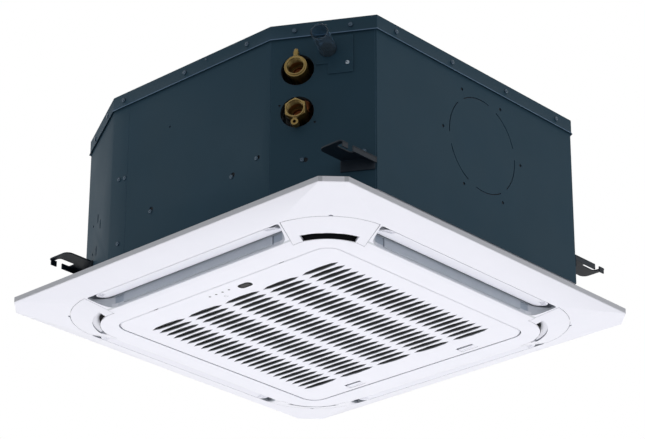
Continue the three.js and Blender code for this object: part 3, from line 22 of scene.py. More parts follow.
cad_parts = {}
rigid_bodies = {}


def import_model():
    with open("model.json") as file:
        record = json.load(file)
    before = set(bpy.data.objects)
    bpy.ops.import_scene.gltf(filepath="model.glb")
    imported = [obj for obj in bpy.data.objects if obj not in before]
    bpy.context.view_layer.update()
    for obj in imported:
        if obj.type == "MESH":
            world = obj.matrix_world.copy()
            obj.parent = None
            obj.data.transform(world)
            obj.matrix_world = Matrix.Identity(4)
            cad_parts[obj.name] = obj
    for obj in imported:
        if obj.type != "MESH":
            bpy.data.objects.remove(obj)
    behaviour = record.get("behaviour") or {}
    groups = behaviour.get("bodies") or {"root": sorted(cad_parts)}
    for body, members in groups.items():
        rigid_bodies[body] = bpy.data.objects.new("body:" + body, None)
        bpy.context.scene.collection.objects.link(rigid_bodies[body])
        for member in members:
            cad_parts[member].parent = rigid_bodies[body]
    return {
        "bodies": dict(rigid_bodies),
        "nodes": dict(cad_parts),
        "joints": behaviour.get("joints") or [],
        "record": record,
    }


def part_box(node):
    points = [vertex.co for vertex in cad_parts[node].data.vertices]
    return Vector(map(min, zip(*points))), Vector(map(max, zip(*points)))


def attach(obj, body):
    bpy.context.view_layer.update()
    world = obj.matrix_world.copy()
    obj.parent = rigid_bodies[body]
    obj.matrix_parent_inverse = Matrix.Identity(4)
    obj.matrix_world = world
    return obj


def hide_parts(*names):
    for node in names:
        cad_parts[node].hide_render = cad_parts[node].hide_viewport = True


log = logging.getLogger("cassette")

MM = 0.001
RIGHT_ANGLE = math.pi / 2
PURE_WHITE = (1.0, 1.0, 1.0, 1.0)
BODY_SHIFT = Vector((7.6, 7.0, 0.0)) * MM  # the steel body hangs a little off the panel's centre

# Driving sizes of the steel body, in millimetres, as in the solids.
BODY_HALF = 287.5  # half the width of the lid
CUT_X = 130.0  # what a slanting corner takes off the width along X
CUT_Y = 73.0  # and along Y
SHEET_FACE = 1.5  # how far the casing sheets stand back from the lid's outer face
LID_LOW = 262.6  # lower edge of the lid's flared rim

# Driving sizes of the panel, in millimetres; distances are from the panel's middle.
FACE_Z = -33.2  # flat face of the grille, the lowest part of the unit
GRILLE_HALF = 188.0  # half the width of the slotted field and a little more
CORNER_SLOT_CENTRE = 175.0  # centre of a corner slot's arc, along both axes
BLADE_OUTER = 282.6  # outer and inner long edge of a closed louvre, with their heights
BLADE_OUTER_Z = -20.3
BLADE_INNER = 252.8
BLADE_INNER_Z = -13.2
BLADE_HALF = 174.5  # half the length of a louvre
BLADE_CROWN = 0.4  # how far its lower face bulges out of the straight line between the edges

SIDES = ("front", "right", "back", "left")  # each a quarter turn on from the -Y side


# ------------------------------------------------------------------------------ colours, finishes


def linear(code: str) -> tuple[float, float, float, float]:
    """Convert an sRGB hex colour to linear light.

    Args:
        code: Colour such as "#a0b1c2".

    Returns:
        Red, green, blue and alpha, each 0 to 1.
    """
    channels = [int(code[i : i + 2], 16) / 255 for i in (1, 3, 5)]
    bent = [c / 12.92 if c <= 0.04045 else ((c + 0.055) / 1.055) ** 2.4 for c in channels]
    return (bent[0], bent[1], bent[2], 1.0)


class Texture(Enum):
    """Surface textures that a finish can carry."""

    POWDER = "powder coat"
    MOULDED = "fine moulded grain"
    BEADS = "expanded foam beads"
    CELLS = "open foam cells"
    SPANGLE = "zinc spangle"
    FINS = "pressed fins"
    TURNED = "lathe-turned metal"
    CLEAR = "smooth translucent plastic"


@dataclass(frozen=True)
class Zone:
    """A part of a piece where painted light or shade takes another colour, bounded about the panel's
    middle.

    Attributes:
        colour: The sRGB colour there.
        reach: Lowest and highest distance from the middle along the farther axis, in mm.
        span: The same along the nearer axis.
        level: Lowest and highest height, in mm.
        fade: Width of the soft border, in mm.
        tilt: Lowest and highest upward part of the normal; steep faces lie near 0.
    """

    colour: str
    reach: tuple[float, float]
    span: tuple[float, float]
    level: tuple[float, float]
    fade: float = 0.5
    tilt: tuple[float, float] = (-0.65, 0.65)


@dataclass(frozen=True)
class Finish:
    """One material: its colours, its gloss and the size of its texture.

    Attributes:
        name: Name of the real material.
        colour: Main sRGB colour.
        shade: Second sRGB colour that the main one drifts to.
        texture: Kind of surface texture.
        roughness: Mean roughness.
        metallic: Share of metal.
        grain_mm: Size of one grain, bead or fin.
        depth_mm: Height of the grain.
        specular: Strength of the reflection of a non-metal.
        edge: Colour of rubbed edges, or None; on the brass and the coated screws it is a painted
            highlight.
        clear: Share of light that passes through.
        painted_recess_shade: Colour of the painted shade deep inside recesses, or None.
        painted_recess_shade_mm: Distance within which other surfaces make a recess.
        zones: Places where painted light or shade gives another colour.
    """

    name: str
    colour: str
    shade: str
    texture: Texture
    roughness: float
    metallic: float
    grain_mm: float
    depth_mm: float
    specular: float = 0.5
    edge: str | None = None
    clear: float = 0.0
    painted_recess_shade: str | None = None
    painted_recess_shade_mm: float = 42.0
    zones: tuple[Zone, ...] = ()


FINISHES: dict[str, Finish] = {
    # Sheet steel, powder coated in a satin blue-grey. The coat's orange peel waves every 1.6 mm
    # and breaks the light into soft patches; on sharp edges it is rubbed paler.
    "casing_steel": Finish("coated_sheet_steel", "#1f3947", "#274253", Texture.POWDER, 0.6, 0.05,
                           1.6, 0.02, 0.15, "#54708a"),
    # Sheet steel, powder coated nearly black: a little glossier than the casing.
    "bracket_steel": Finish("black_coated_steel", "#0c151e", "#142230", Texture.POWDER, 0.45, 0.1,
                            1.3, 0.02, 0.25, "#2c4052"),
    # White moulded plastic: cool white and silky, with painted shade in deep recesses. The real
    # grain is about 0.1 mm; it is drawn at 0.55 mm so that it shows.
    "white_plastic": Finish("white_moulded_plastic", "#ececf5", "#e6e7f0", Texture.MOULDED, 0.42,
                            0.0, 0.55, 0.006, 0.3, None, 0.0, "#7d858e"),
    # Grey moulded plastic of the outlet ducts: duller than the panel, with a broader grain.
    "grey_plastic": Finish("grey_moulded_plastic", "#aab1bb", "#959da8", Texture.MOULDED, 0.55,
                           0.0, 0.7, 0.01, 0.3),
    # Black moulded plastic of the fan, the bell mouth, the filter frame and the small motors.
    "black_plastic": Finish("black_moulded_plastic", "#141619", "#1f2226", Texture.MOULDED, 0.5,
                            0.0, 0.8, 0.012, 0.4),
    # Pale expanded foam of the drain pan: matt, with beads of 3 mm.
    "foam": Finish("expanded_bead_foam", "#d3d6da", "#c2c6cb", Texture.BEADS, 0.85, 0.0, 3.2,
                   0.25, 0.25),
    # Dark soft foam of gasket and liner: it swallows the light in open cells of 1 mm.
    "dark_foam": Finish("open_cell_gasket_foam", "#2c2f34", "#3a3e44", Texture.CELLS, 0.95, 0.0,
                        1.1, 0.3, 0.15),
    # Hot-dip zinc: crystals of 9 mm that change from bright to dull.
    "galvanised_steel": Finish("galvanised_steel", "#9ca3a8", "#7f878e", Texture.SPANGLE, 0.38,
                               0.85, 9.0, 0.01),
    # Aluminium fins pressed 1.8 mm apart: thin bright edges with dark gaps.
    "aluminium_fins": Finish("aluminium_fin_stack", "#b9bec3", "#6f757b", Texture.FINS, 0.4, 0.8,
                             1.8, 0.5),
    # Drawn copper tube with a thin brown tarnish in blotches.
    "copper_pipe": Finish("copper_tube", "#a9653f", "#7d4a33", Texture.TURNED, 0.35, 0.9, 0.8,
                          0.008),
    # Machined brass with a painted highlight on its edges and painted shade, dark brown, in its
    # hollows. The tool marks are drawn every 0.5 mm, coarser than the real ones, so that they show.
    "brass": Finish("machined_brass", "#7d6a3c", "#4d3d20", Texture.TURNED, 0.32, 0.85, 0.5, 0.012,
                    0.5, "#cdbb8e", 0.0, "#2a0f08", 14.0),
    # Smoky moulded plastic of the drain: it lets most of the light through.
    "drain_plastic": Finish("smoky_drain_plastic", "#9fb4c4", "#8299ab", Texture.CLEAR, 0.1, 0.0,
                            6.0, 0.02, 0.5, None, 0.92),
    # Dark polished plastic of the receiver's window.
    "dark_window": Finish("dark_receiver_window", "#0d0e11", "#16181d", Texture.CLEAR, 0.12, 0.0,
                          8.0, 0.004, 0.15),
}

WHITE = FINISHES["white_plastic"]
# Grille: the same white plastic, whose slot walls sink into shadow within two millimetres.
GRILLE_WHITE = replace(WHITE, name="white_grille_plastic", zones=(
    Zone("#70757d", (0.0, GRILLE_HALF), (0.0, GRILLE_HALF), (-32.6, -5.0), 0.55, (-1.0, 0.85)),
    Zone("#090b0e", (0.0, GRILLE_HALF), (0.0, GRILLE_HALF), (-31.7, -5.0), 1.1, (-1.0, 0.85)),
))
# Panel: the same white plastic, with painted shade greying its rim and the walls, end walls and
# sills of its air outlets.
PANEL_WHITE = replace(WHITE, name="white_panel_plastic", zones=(
    Zone("#c2c4cb", (320.0, 330.0), (0.0, 330.0), (-30.0, 20.0), 0.8),  # rim
    Zone("#939daa", (247.0, 287.0), (0.0, 190.0), (-29.2, 20.0), 0.4),  # walls of the outlets
    Zone("#bcc1c9", (247.0, 287.0), (164.0, 192.0), (-29.2, 20.0), 3.0),  # their end walls
    Zone("#cbced5", (249.2, 251.4), (0.0, 186.0), (-32.0, -25.0), 0.6, (-1.0, 1.0)),  # sills
))
# Lid: the casing's coat with a painted highlight along the rolled lip at its lower edge.
LID_STEEL = replace(FINISHES["casing_steel"], name="coated_lid_steel", zones=(
    Zone("#5c7590", (150.0, 330.0), (0.0, 330.0), (LID_LOW - 0.6, LID_LOW + 1.7)),
))
# Louvres: the same white plastic without the painted recess shade, so they stay bright to their very
# edge.
LOUVRE_WHITE = replace(WHITE, name="white_louvre_plastic", painted_recess_shade=None)
# Nodes that don't take the plain finish of their slot.
OWN_FINISHES = {
    "intake_grille": GRILLE_WHITE, "panel_frame": PANEL_WHITE, "top_cover": LID_STEEL,
    **{f"louvre_{side}": LOUVRE_WHITE for side in SIDES},
}

# Steel screws coated like the casing: small dark domes with a painted highlight round their edges.
COATED_SCREW = Finish("coated_screw", "#22384a", "#31495c", Texture.TURNED, 0.25, 0.4, 0.4, 0.01,
                      0.5, "#7f9ab0")
# Zinc-plated steel screws of the drain plate: bright and slightly blue.
SCREW_STEEL = Finish("zinc_plated_screw", "#8d98a2", "#5f6973", Texture.TURNED, 0.28, 0.85, 0.4,
                     0.01, 0.5, "#c5ced6")
# Black plastic: the sheets of painted shade behind the corner slots, and the real bezel round the
# receiver's window.
SLOT_SHADE_AND_BEZEL_BLACK = Finish("slot_shade_and_bezel_black_plastic", "#08090b", "#101216", Texture.MOULDED, 0.8, 0.0,
                       0.8, 0.01, 0.1)
# Frosted plastic of the status lamps, dark while they are off.
LAMP_LENS = Finish("frosted_lamp_lens", "#2b2d31", "#43474d", Texture.CLEAR, 0.3, 0.0, 1.5, 0.005,
                   0.5)
# Woven black net of the air filter: dull threads.
FILTER_NET = Finish("black_filter_net", "#111316", "#1b1e22", Texture.MOULDED, 0.6, 0.0, 0.3,
                    0.01, 0.3)

# Edge radius of the nodes by material slot, in millimetres.
ROUNDING_MM = {
    "casing_steel": 0.25, "bracket_steel": 0.6, "white_plastic": 0.5, "brass": 0.5,
    "black_plastic": 0.4, "grey_plastic": 0.3,
}

# A finish with less metal than this counts as a non-metal and sets its own specular level.
MOSTLY_METAL = 0.6
RINGS_PER_UNIT = 3.0  # rings that the ring texture draws in one unit, roughly


class Canvas:
    """Shader nodes of one material or of the world."""

    def __init__(self, owner: bpy.types.Material | bpy.types.World) -> None:
        """Start with no nodes.

        Args:
            owner: Material or world that the nodes belong to.
        """
        owner.use_nodes = True
        self.tree = owner.node_tree
        self.tree.nodes.clear()

    def add(self, kind: str, inputs: Mapping[Any, Any] | None = None, **settings: Any) -> Any:
        """Add one node, set its properties and fill or link its inputs.

        Args:
            kind: Type name of the node.
            inputs: Input socket to a value or to the socket that feeds it.
            settings: Node properties.

        Returns:
            The new node.
        """
        node = self.tree.nodes.new(kind)
        for key, value in settings.items():
            setattr(node, key, value)
        for key, value in (inputs or {}).items():
            socket = self._shown(node.inputs, key)
            if isinstance(value, bpy.types.NodeSocket):
                self.tree.links.new(value, socket)
            else:
                socket.default_value = value
        return node

    @staticmethod
    def _shown(sockets: Any, key: int | str) -> Any:
        """Find a socket by index, or by name among those that the node's settings show.

        Args:
            sockets: The node's inputs or outputs.
            key: Index or name.

        Returns:
            The socket.
        """
        if isinstance(key, int):
            return sockets[key]
        return next(s for s in sockets if s.name == key and s.enabled)

    def mix(self, factor: Any, first: Any, second: Any, kind: str = "RGBA") -> Any:
        """Mix two colours or numbers.

        Args:
            factor: Share of the second one.
            first: Colour, number or socket at factor 0.
            second: The same at factor 1.
            kind: "RGBA" or "FLOAT".

        Returns:
            The socket of the result.
        """
        node = self.add("ShaderNodeMix", {"Factor": factor, "A": first, "B": second},
                        data_type=kind)
        return self._shown(node.outputs, "Result")


@dataclass
class SurfaceMaker:
    """Builds and keeps the procedural material of each finish.

    Attributes:
        drift_mm: Size of the clouds in which a colour drifts to its shade.
        stain_mm: Size of the tarnish patches on turned metal.
        patch_grains: Width of a duller or glossier patch, in grains.
        gloss_drift: Share by which the roughness goes up and down.
        recess_start: Share of open surroundings at which the painted shade of a recess begins.
        recess_end: The same where it is darkest.
        wear_and_highlight_mm: Radius within which an edge takes the edge colour: rubbed wear on some
            finishes, a painted highlight on others.
        wear_and_highlight_start: Match between true and rounded normal at which that edge colour
            begins.
        wear_and_highlight_end: The same where it is strongest.
        wear_and_highlight_share: Share of the edge colour there.
        tilt_fade: Soft border of a zone's range of tilts.
        clear_ior: Index of the clear plastic; under the usual 1.5, because the thin wall of
            the drain stub bends what lies behind it very little.
        made: Materials built so far, by name.
    """

    drift_mm: float = 71.4
    stain_mm: float = 11.1
    patch_grains: float = 60.0
    gloss_drift: float = 0.15
    recess_start: float = 0.62
    recess_end: float = 0.12
    wear_and_highlight_mm: float = 0.7
    wear_and_highlight_start: float = 0.97
    wear_and_highlight_end: float = 0.75
    wear_and_highlight_share: float = 0.7
    tilt_fade: float = 0.1
    clear_ior: float = 1.2
    made: dict[str, bpy.types.Material] = field(default_factory=dict)

    def material(self, finish: Finish) -> bpy.types.Material:
        """Return the material of a finish, built once.

        Args:
            finish: The finish to build.

        Returns:
            The material.
        """
        if finish.name not in self.made:
            self.made[finish.name] = self._build(finish)
        return self.made[finish.name]

    def _build(self, finish: Finish) -> bpy.types.Material:
        """Build the material of a finish: base colour, gloss and relief.

        Args:
            finish: The finish to build.

        Returns:
            The new material.
        """
        material = bpy.data.materials.new(finish.name)
        canvas = Canvas(material)
        place = canvas.add("ShaderNodeTexCoord").outputs["Object"]
        height, patches = self._pattern(canvas, finish, place)
        base = self._base_colour(canvas, finish, place, patches)
        rough = canvas.add("ShaderNodeMapRange", {
            "Value": patches, "To Min": finish.roughness * (1 - self.gloss_drift),
            "To Max": finish.roughness * (1 + self.gloss_drift),
        })
        bump = canvas.add("ShaderNodeBump", {
            "Height": height, "Distance": finish.depth_mm * MM, "Strength": 1.0,
        })
        shader = canvas.add("ShaderNodeBsdfPrincipled", {
            "Base Color": base, "Roughness": rough.outputs["Result"],
            "Metallic": finish.metallic, "Normal": bump.outputs["Normal"],
        })
        if finish.metallic < MOSTLY_METAL:
            shader.inputs["Specular IOR Level"].default_value = finish.specular
        if finish.clear > 0:
            shader.inputs["Transmission Weight"].default_value = finish.clear
            shader.inputs["IOR"].default_value = self.clear_ior
        canvas.add("ShaderNodeOutputMaterial", {"Surface": shader.outputs["BSDF"]})
        return material

    def _base_colour(self, canvas: Canvas, finish: Finish, place: Any, patches: Any) -> Any:
        """Mix the finish's colours: drift, edge colour, painted shade in recesses and zones of
        painted light and shade, in that order.

        Args:
            canvas: Nodes of the material.
            finish: The finish.
            place: Socket of the position in metres.
            patches: Socket of the texture's patches.

        Returns:
            The socket of the colour.
        """
        drift = canvas.add("ShaderNodeTexNoise", {
            "Vector": place, "Scale": 1 / (self.drift_mm * MM), "Detail": 3.0,
        })
        blend = canvas.add("ShaderNodeMath", {0: drift.outputs["Fac"], 1: patches},
                           operation="MULTIPLY")
        base = canvas.mix(blend.outputs[0], linear(finish.colour), linear(finish.shade))
        # Edge colour: rubbed wear on some finishes, a painted highlight on the brass and the coated
        # screws.
        if finish.edge:
            base = self._edge_wear_and_highlight(canvas, base, finish.edge)
        # Painted shade deep inside recesses, found by ambient occlusion.
        if finish.painted_recess_shade:
            base = self._recess_shade(canvas, base, finish.painted_recess_shade, finish.painted_recess_shade_mm)
        # Zones of painted light and shade.
        for zone in finish.zones:
            base = self._zone(canvas, base, zone, place)
        return base

    def _pattern(self, canvas: Canvas, finish: Finish, place: Any) -> tuple[Any, Any]:
        """Draw the finish's texture.

        Args:
            canvas: Nodes of the material.
            finish: The finish.
            place: Socket of the position in metres.

        Returns:
            The sockets of the texture's height and of its patches, each 0 to 1.
        """
        per_metre = 1.0 / (finish.grain_mm * MM)
        if finish.texture in (Texture.BEADS, Texture.CELLS, Texture.SPANGLE):
            cells = canvas.add("ShaderNodeTexVoronoi", {"Vector": place, "Scale": per_metre})
            tint = canvas.add("ShaderNodeSeparateColor", {"Color": cells.outputs["Color"]})
            dome = canvas.add("ShaderNodeMath", {0: 1.0, 1: cells.outputs["Distance"]},
                              operation="SUBTRACT")
            return dome.outputs[0], tint.outputs["Red"]
        if finish.texture is Texture.FINS:
            return self._fins(canvas, per_metre, place)
        if finish.texture is Texture.TURNED:
            wave = canvas.add("ShaderNodeTexWave", {
                "Vector": place, "Scale": per_metre / RINGS_PER_UNIT, "Distortion": 1.5,
                "Detail": 2.0,
            }, wave_type="RINGS", rings_direction="SPHERICAL")
            stain = canvas.add("ShaderNodeTexNoise", {
                "Vector": place, "Scale": 1 / (self.stain_mm * MM), "Detail": 4.0,
            })
            return wave.outputs["Fac"], stain.outputs["Fac"]
        grain = canvas.add("ShaderNodeTexNoise", {
            "Vector": place, "Scale": per_metre, "Detail": 2.0, "Roughness": 0.6,
        })
        broad = canvas.add("ShaderNodeTexNoise", {
            "Vector": place, "Scale": per_metre / self.patch_grains, "Detail": 2.0,
        })
        return grain.outputs["Fac"], broad.outputs["Fac"]

    @staticmethod
    def _fins(canvas: Canvas, per_metre: float, place: Any) -> tuple[Any, Any]:
        """Draw fin edges that run across each straight side of the coil.

        Args:
            canvas: Nodes of the material.
            per_metre: Number of fins in a metre.
            place: Socket of the position in metres.

        Returns:
            The sockets of height and patches, which are the same here.
        """
        normal = canvas.add("ShaderNodeNewGeometry").outputs["True Normal"]
        facing = canvas.add("ShaderNodeSeparateXYZ", {"Vector": normal})
        along = canvas.add("ShaderNodeSeparateXYZ", {"Vector": place})
        side = canvas.add("ShaderNodeMath", {0: facing.outputs["X"]}, operation="ABSOLUTE")
        pick = canvas.mix(side.outputs[0], along.outputs["X"], along.outputs["Y"], "FLOAT")
        phase = canvas.add("ShaderNodeMath", {0: pick, 1: per_metre * math.tau},
                           operation="MULTIPLY")
        ridge = canvas.add("ShaderNodeMath", {0: phase.outputs[0]}, operation="SINE")
        level = canvas.add("ShaderNodeMapRange", {"Value": ridge.outputs[0], "From Min": -1.0})
        return level.outputs["Result"], level.outputs["Result"]

    def _zone(self, canvas: Canvas, base: Any, zone: Zone, place: Any) -> Any:
        """Mix a zone's painted light or shade in where the surface lies inside its bounds.

        Args:
            canvas: Nodes of the material.
            base: Socket of the colour so far.
            zone: The zone.
            place: Socket of the position in metres.

        Returns:
            The socket of the new colour.
        """
        axes = canvas.add("ShaderNodeSeparateXYZ", {"Vector": place})
        sides = [canvas.add("ShaderNodeMath", {0: axes.outputs[axis]}, operation="ABSOLUTE")
                 for axis in ("X", "Y")]
        pair = {0: sides[0].outputs[0], 1: sides[1].outputs[0]}
        farther = canvas.add("ShaderNodeMath", pair, operation="MAXIMUM").outputs[0]
        nearer = canvas.add("ShaderNodeMath", pair, operation="MINIMUM").outputs[0]
        share: Any = 1.0
        for value, bounds in ((farther, zone.reach), (nearer, zone.span),
                              (axes.outputs["Z"], zone.level)):
            share = self._inside(canvas, share, value, [b * MM for b in bounds], zone.fade * MM)
        normal = canvas.add("ShaderNodeNewGeometry").outputs["True Normal"]
        tilt = canvas.add("ShaderNodeSeparateXYZ", {"Vector": normal}).outputs["Z"]
        share = self._inside(canvas, share, tilt, zone.tilt, self.tilt_fade)
        return canvas.mix(share, base, linear(zone.colour))

    @staticmethod
    def _inside(canvas: Canvas, share: Any, value: Any, bounds: Sequence[float],
                fade: float) -> Any:
        """Multiply a share by 1 between two bounds, falling to 0 outside over the fade.

        Args:
            canvas: Nodes of the material.
            share: Number or socket of the share so far.
            value: Socket that is held against the bounds.
            bounds: Lowest and highest value.
            fade: Width of each soft border.

        Returns:
            The socket of the new share.
        """
        low, high = bounds
        rising = canvas.add("ShaderNodeMapRange", {
            "Value": value, "From Min": low - fade, "From Max": low, "To Max": share,
        })
        falling = canvas.add("ShaderNodeMapRange", {
            "Value": value, "From Min": high + fade, "From Max": high,
            "To Max": rising.outputs["Result"],
        })
        return falling.outputs["Result"]

    def _recess_shade(self, canvas: Canvas, base: Any, painted_recess_shade: str, reach_mm: float) -> Any:
        """Mix painted shade in where the surface lies deep inside a recess.

        Args:
            canvas: Nodes of the material.
            base: Socket of the colour so far.
            painted_recess_shade: The sRGB colour of the painted shade.
            reach_mm: Distance within which other surfaces make a recess.

        Returns:
            The socket of the new colour.
        """
        open_share = canvas.add("ShaderNodeAmbientOcclusion", {"Distance": reach_mm * MM},
                                samples=8)
        depth = canvas.add("ShaderNodeMapRange", {
            "Value": open_share.outputs["AO"], "From Min": self.recess_start,
            "From Max": self.recess_end,
        }, interpolation_type="SMOOTHSTEP")
        return canvas.mix(depth.outputs["Result"], base, linear(painted_recess_shade))

    def _edge_wear_and_highlight(self, canvas: Canvas, base: Any, edge: str) -> Any:
        """Mix a lighter colour in where the surface turns sharply: rubbed wear on some finishes, a
        painted highlight on others.

        Args:
            canvas: Nodes of the material.
            base: Socket of the colour so far.
            edge: The lighter sRGB colour.

        Returns:
            The socket of the new colour.
        """
        rounded_over = canvas.add("ShaderNodeBevel", {"Radius": self.wear_and_highlight_mm * MM}, samples=4)
        true = canvas.add("ShaderNodeNewGeometry").outputs["True Normal"]
        match = canvas.add("ShaderNodeVectorMath",
                           {0: rounded_over.outputs["Normal"], 1: true}, operation="DOT_PRODUCT")
        edge_wear_and_glint = canvas.add("ShaderNodeMapRange", {
            "Value": match.outputs["Value"], "From Min": self.wear_and_highlight_start,
            "From Max": self.wear_and_highlight_end, "To Max": self.wear_and_highlight_share,
        })
        return canvas.mix(edge_wear_and_glint.outputs["Result"], base, linear(edge))


# ------------------------------------------------------------------------------ mesh helpers

AXIS = 0.01  # radius at which a turned profile ends beside its axis, in millimetres
ARC_STEPS = 5  # steps in which a rounded corner is drawn


def new_object(name: str, form: bmesh.types.BMesh, material: bpy.types.Material) -> bpy.types.Object:
    """Turn a bmesh into a smooth-shaded object with one material.

    Args:
        name: Name of the object.
        form: The mesh, freed afterwards.
        material: Its material.

    Returns:
        The new object, linked to the scene.
    """
    bmesh.ops.recalc_face_normals(form, faces=form.faces)
    mesh = bpy.data.meshes.new(name)
    form.to_mesh(mesh)
    form.free()
    mesh.materials.append(material)
    mesh.polygons.foreach_set("use_smooth", [True] * len(mesh.polygons))
    mesh.set_sharp_from_angle(angle=math.radians(35))
    thing = bpy.data.objects.new(name, mesh)
    bpy.context.scene.collection.objects.link(thing)
    return thing


def strip(form: bmesh.types.BMesh, here: Sequence[bmesh.types.BMVert],
          ahead: Sequence[bmesh.types.BMVert]) -> None:
    """Join two rows of points by a strip of faces.

    Args:
        form: Mesh to add to.
        here: Points of the first row.
        ahead: As many points of the second row.
    """
    for j in range(len(here) - 1):
        form.faces.new((here[j], ahead[j], ahead[j + 1], here[j + 1]))


def lathe(form: bmesh.types.BMesh, profile: Sequence[tuple[float, float]], segments: int,
          matrix: Matrix, pitch: float = 0.0, turns: int = 1) -> None:
    """Spin a profile about Z and add it to a mesh.

    Args:
        form: Mesh to add to.
        profile: Points (radius, height) in millimetres, from one end to the other.
        segments: Faces in one turn.
        matrix: Where the turned piece goes.
        pitch: Height gained in one turn, in millimetres, for a thread.
        turns: Number of turns of a thread.
    """
    closed = pitch == 0
    count = segments if closed else segments * turns + 1
    rings: list[list[bmesh.types.BMVert]] = []
    for i in range(count):
        angle = math.tau * i / segments
        lift = pitch * i / segments
        rings.append([
            form.verts.new(matrix @ Vector((r * math.cos(angle), r * math.sin(angle), z + lift)))
            for r, z in profile
        ])
    for i in range(count if closed else count - 1):
        strip(form, rings[i], rings[(i + 1) % count])


def box(form: bmesh.types.BMesh, low: Sequence[float], high: Sequence[float],
        matrix: Matrix) -> None:
    """Add a box, such as a net's strand, a screw's slot or a folded lip.

    Args:
        form: Mesh to add to.
        low: Lowest corner in millimetres.
        high: Highest corner in millimetres.
        matrix: Where it goes.
    """
    size = [b - a for a, b in zip(low, high)]
    middle = [(a + b) / 2 for a, b in zip(low, high)]
    shape = matrix @ Matrix.Translation(middle) @ Matrix.Diagonal((*size, 1.0))
    bmesh.ops.create_cube(form, size=1.0, matrix=shape)


def rounded(corners: Sequence[tuple[float, float, float]]) -> list[Vector]:
    """Round the corners of a flat outline.

    Args:
        corners: Points (x, y, radius) in millimetres, in order round the outline.

    Returns:
        Points of the rounded outline.
    """
    points: list[Vector] = []
    for i, (x, y, radius) in enumerate(corners):
        here = Vector((x, y))
        if radius <= 0:
            points.append(here)
            continue
        back = (Vector(corners[i - 1][:2]) - here).normalized()
        ahead = (Vector(corners[(i + 1) % len(corners)][:2]) - here).normalized()
        half = back.angle(ahead) / 2
        middle = here + (back + ahead).normalized() * (radius / math.sin(half))
        first = here + back * (radius / math.tan(half)) - middle
        last = here + ahead * (radius / math.tan(half)) - middle
        sweep = first.angle_signed(last)
        for k in range(ARC_STEPS + 1):
            angle = sweep * k / ARC_STEPS
            arm = Vector((first.x * math.cos(angle) + first.y * math.sin(angle),
                          first.y * math.cos(angle) - first.x * math.sin(angle)))
            points.append(middle + arm)
    return points


def plate(form: bmesh.types.BMesh, outline: Sequence[Vector], low: float, high: float,
          matrix: Matrix) -> None:
    """Add a flat plate with a given outline.

    Args:
        form: Mesh to add to.
        outline: Points of the outline in millimetres.
        low: Height of its underside.
        high: Height of its upper side.
        matrix: Where it goes.
    """
    rings = [[form.verts.new(matrix @ Vector((p.x, p.y, z))) for p in outline]
             for z in (low, high)]
    for i in range(len(outline)):
        j = (i + 1) % len(outline)
        form.faces.new((rings[0][i], rings[0][j], rings[1][j], rings[1][i]))
    form.faces.new(rings[0])
    form.faces.new(rings[1])


def soften(piece: bpy.types.Object, rounding_mm: float) -> None:
    """Round the sharp edges of a piece.

    Args:
        piece: The piece.
        rounding_mm: Edge radius in millimetres.
    """
    bevel = piece.modifiers.new("bevel", "BEVEL")
    bevel.width = rounding_mm * MM
    bevel.segments = 2
    bevel.limit_method = "ANGLE"
    bevel.angle_limit = math.radians(32)
    bevel.harden_normals = True


def seat(piece: bpy.types.Object, body: str) -> bpy.types.Object:
    """Let a piece ride on a body.

    Args:
        piece: The piece.
        body: Name of the body.

    Returns:
        The same piece.
    """
    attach(piece, body)
    return piece


def turn(quarters: int) -> Matrix:
    """Rotation about Z by a number of right angles, with millimetres turned into metres."""
    return Matrix.Rotation(quarters * RIGHT_ANGLE, 4, "Z") @ Matrix.Scale(MM, 4)


def blade_underside(w: float) -> float:
    """Find the height of a closed louvre's lower face.

    Args:
        w: Distance from the panel's middle, in millimetres.

    Returns:
        The height in millimetres.
    """
    share = (BLADE_OUTER - w) / (BLADE_OUTER - BLADE_INNER)
    chord = BLADE_OUTER_Z + share * (BLADE_INNER_Z - BLADE_OUTER_Z)
    return chord - 4 * BLADE_CROWN * share * (1 - share)


@dataclass(frozen=True)
class Face:
    """A flat side of the steel body that small pieces are set on.

    Attributes:
        origin: Middle of the face at z = 0, in millimetres in the body's own frame.
        outward: Angle of its outward normal from +X, in radians.
    """

    origin: tuple[float, float]
    outward: float

    def at(self, along: float, height: float, out: float = 0.0) -> Matrix:
        """Matrix that stands a piece on the face, its own +Z pointing outward.

        Args:
            along: Distance from the middle, to the right seen from outside.
            height: Height above the ceiling plane.
            out: Distance out of the face.

        Returns:
            The matrix, which also scales millimetres to metres.
        """
        normal = Vector((math.cos(self.outward), math.sin(self.outward), 0.0))
        right = Vector((-normal.y, normal.x, 0.0))
        spot = Vector((*self.origin, height)) + right * along + normal * out
        axes = Matrix((right, Vector((0, 0, 1)), normal)).transposed().to_4x4()
        return Matrix.Translation(BODY_SHIFT + spot * MM) @ axes @ Matrix.Scale(MM, 4)


def corner_cut(sign_x: int, sign_y: int) -> Face:
    """The slanting face of one body corner, at the lid's outer surface."""
    angle = math.atan2(sign_y * CUT_X, sign_x * CUT_Y)
    return Face((sign_x * (BODY_HALF - CUT_X / 2), sign_y * (BODY_HALF - CUT_Y / 2)), angle)


FRONT = Face((0.0, -BODY_HALF), -RIGHT_ANGLE)
RIGHT = Face((BODY_HALF, 0.0), 0.0)
BACK = Face((0.0, BODY_HALF), RIGHT_ANGLE)
LEFT = Face((-BODY_HALF, 0.0), math.pi)
PIPE_CORNER = corner_cut(1, -1)


# ------------------------------------------------------------------------------ the model's nodes


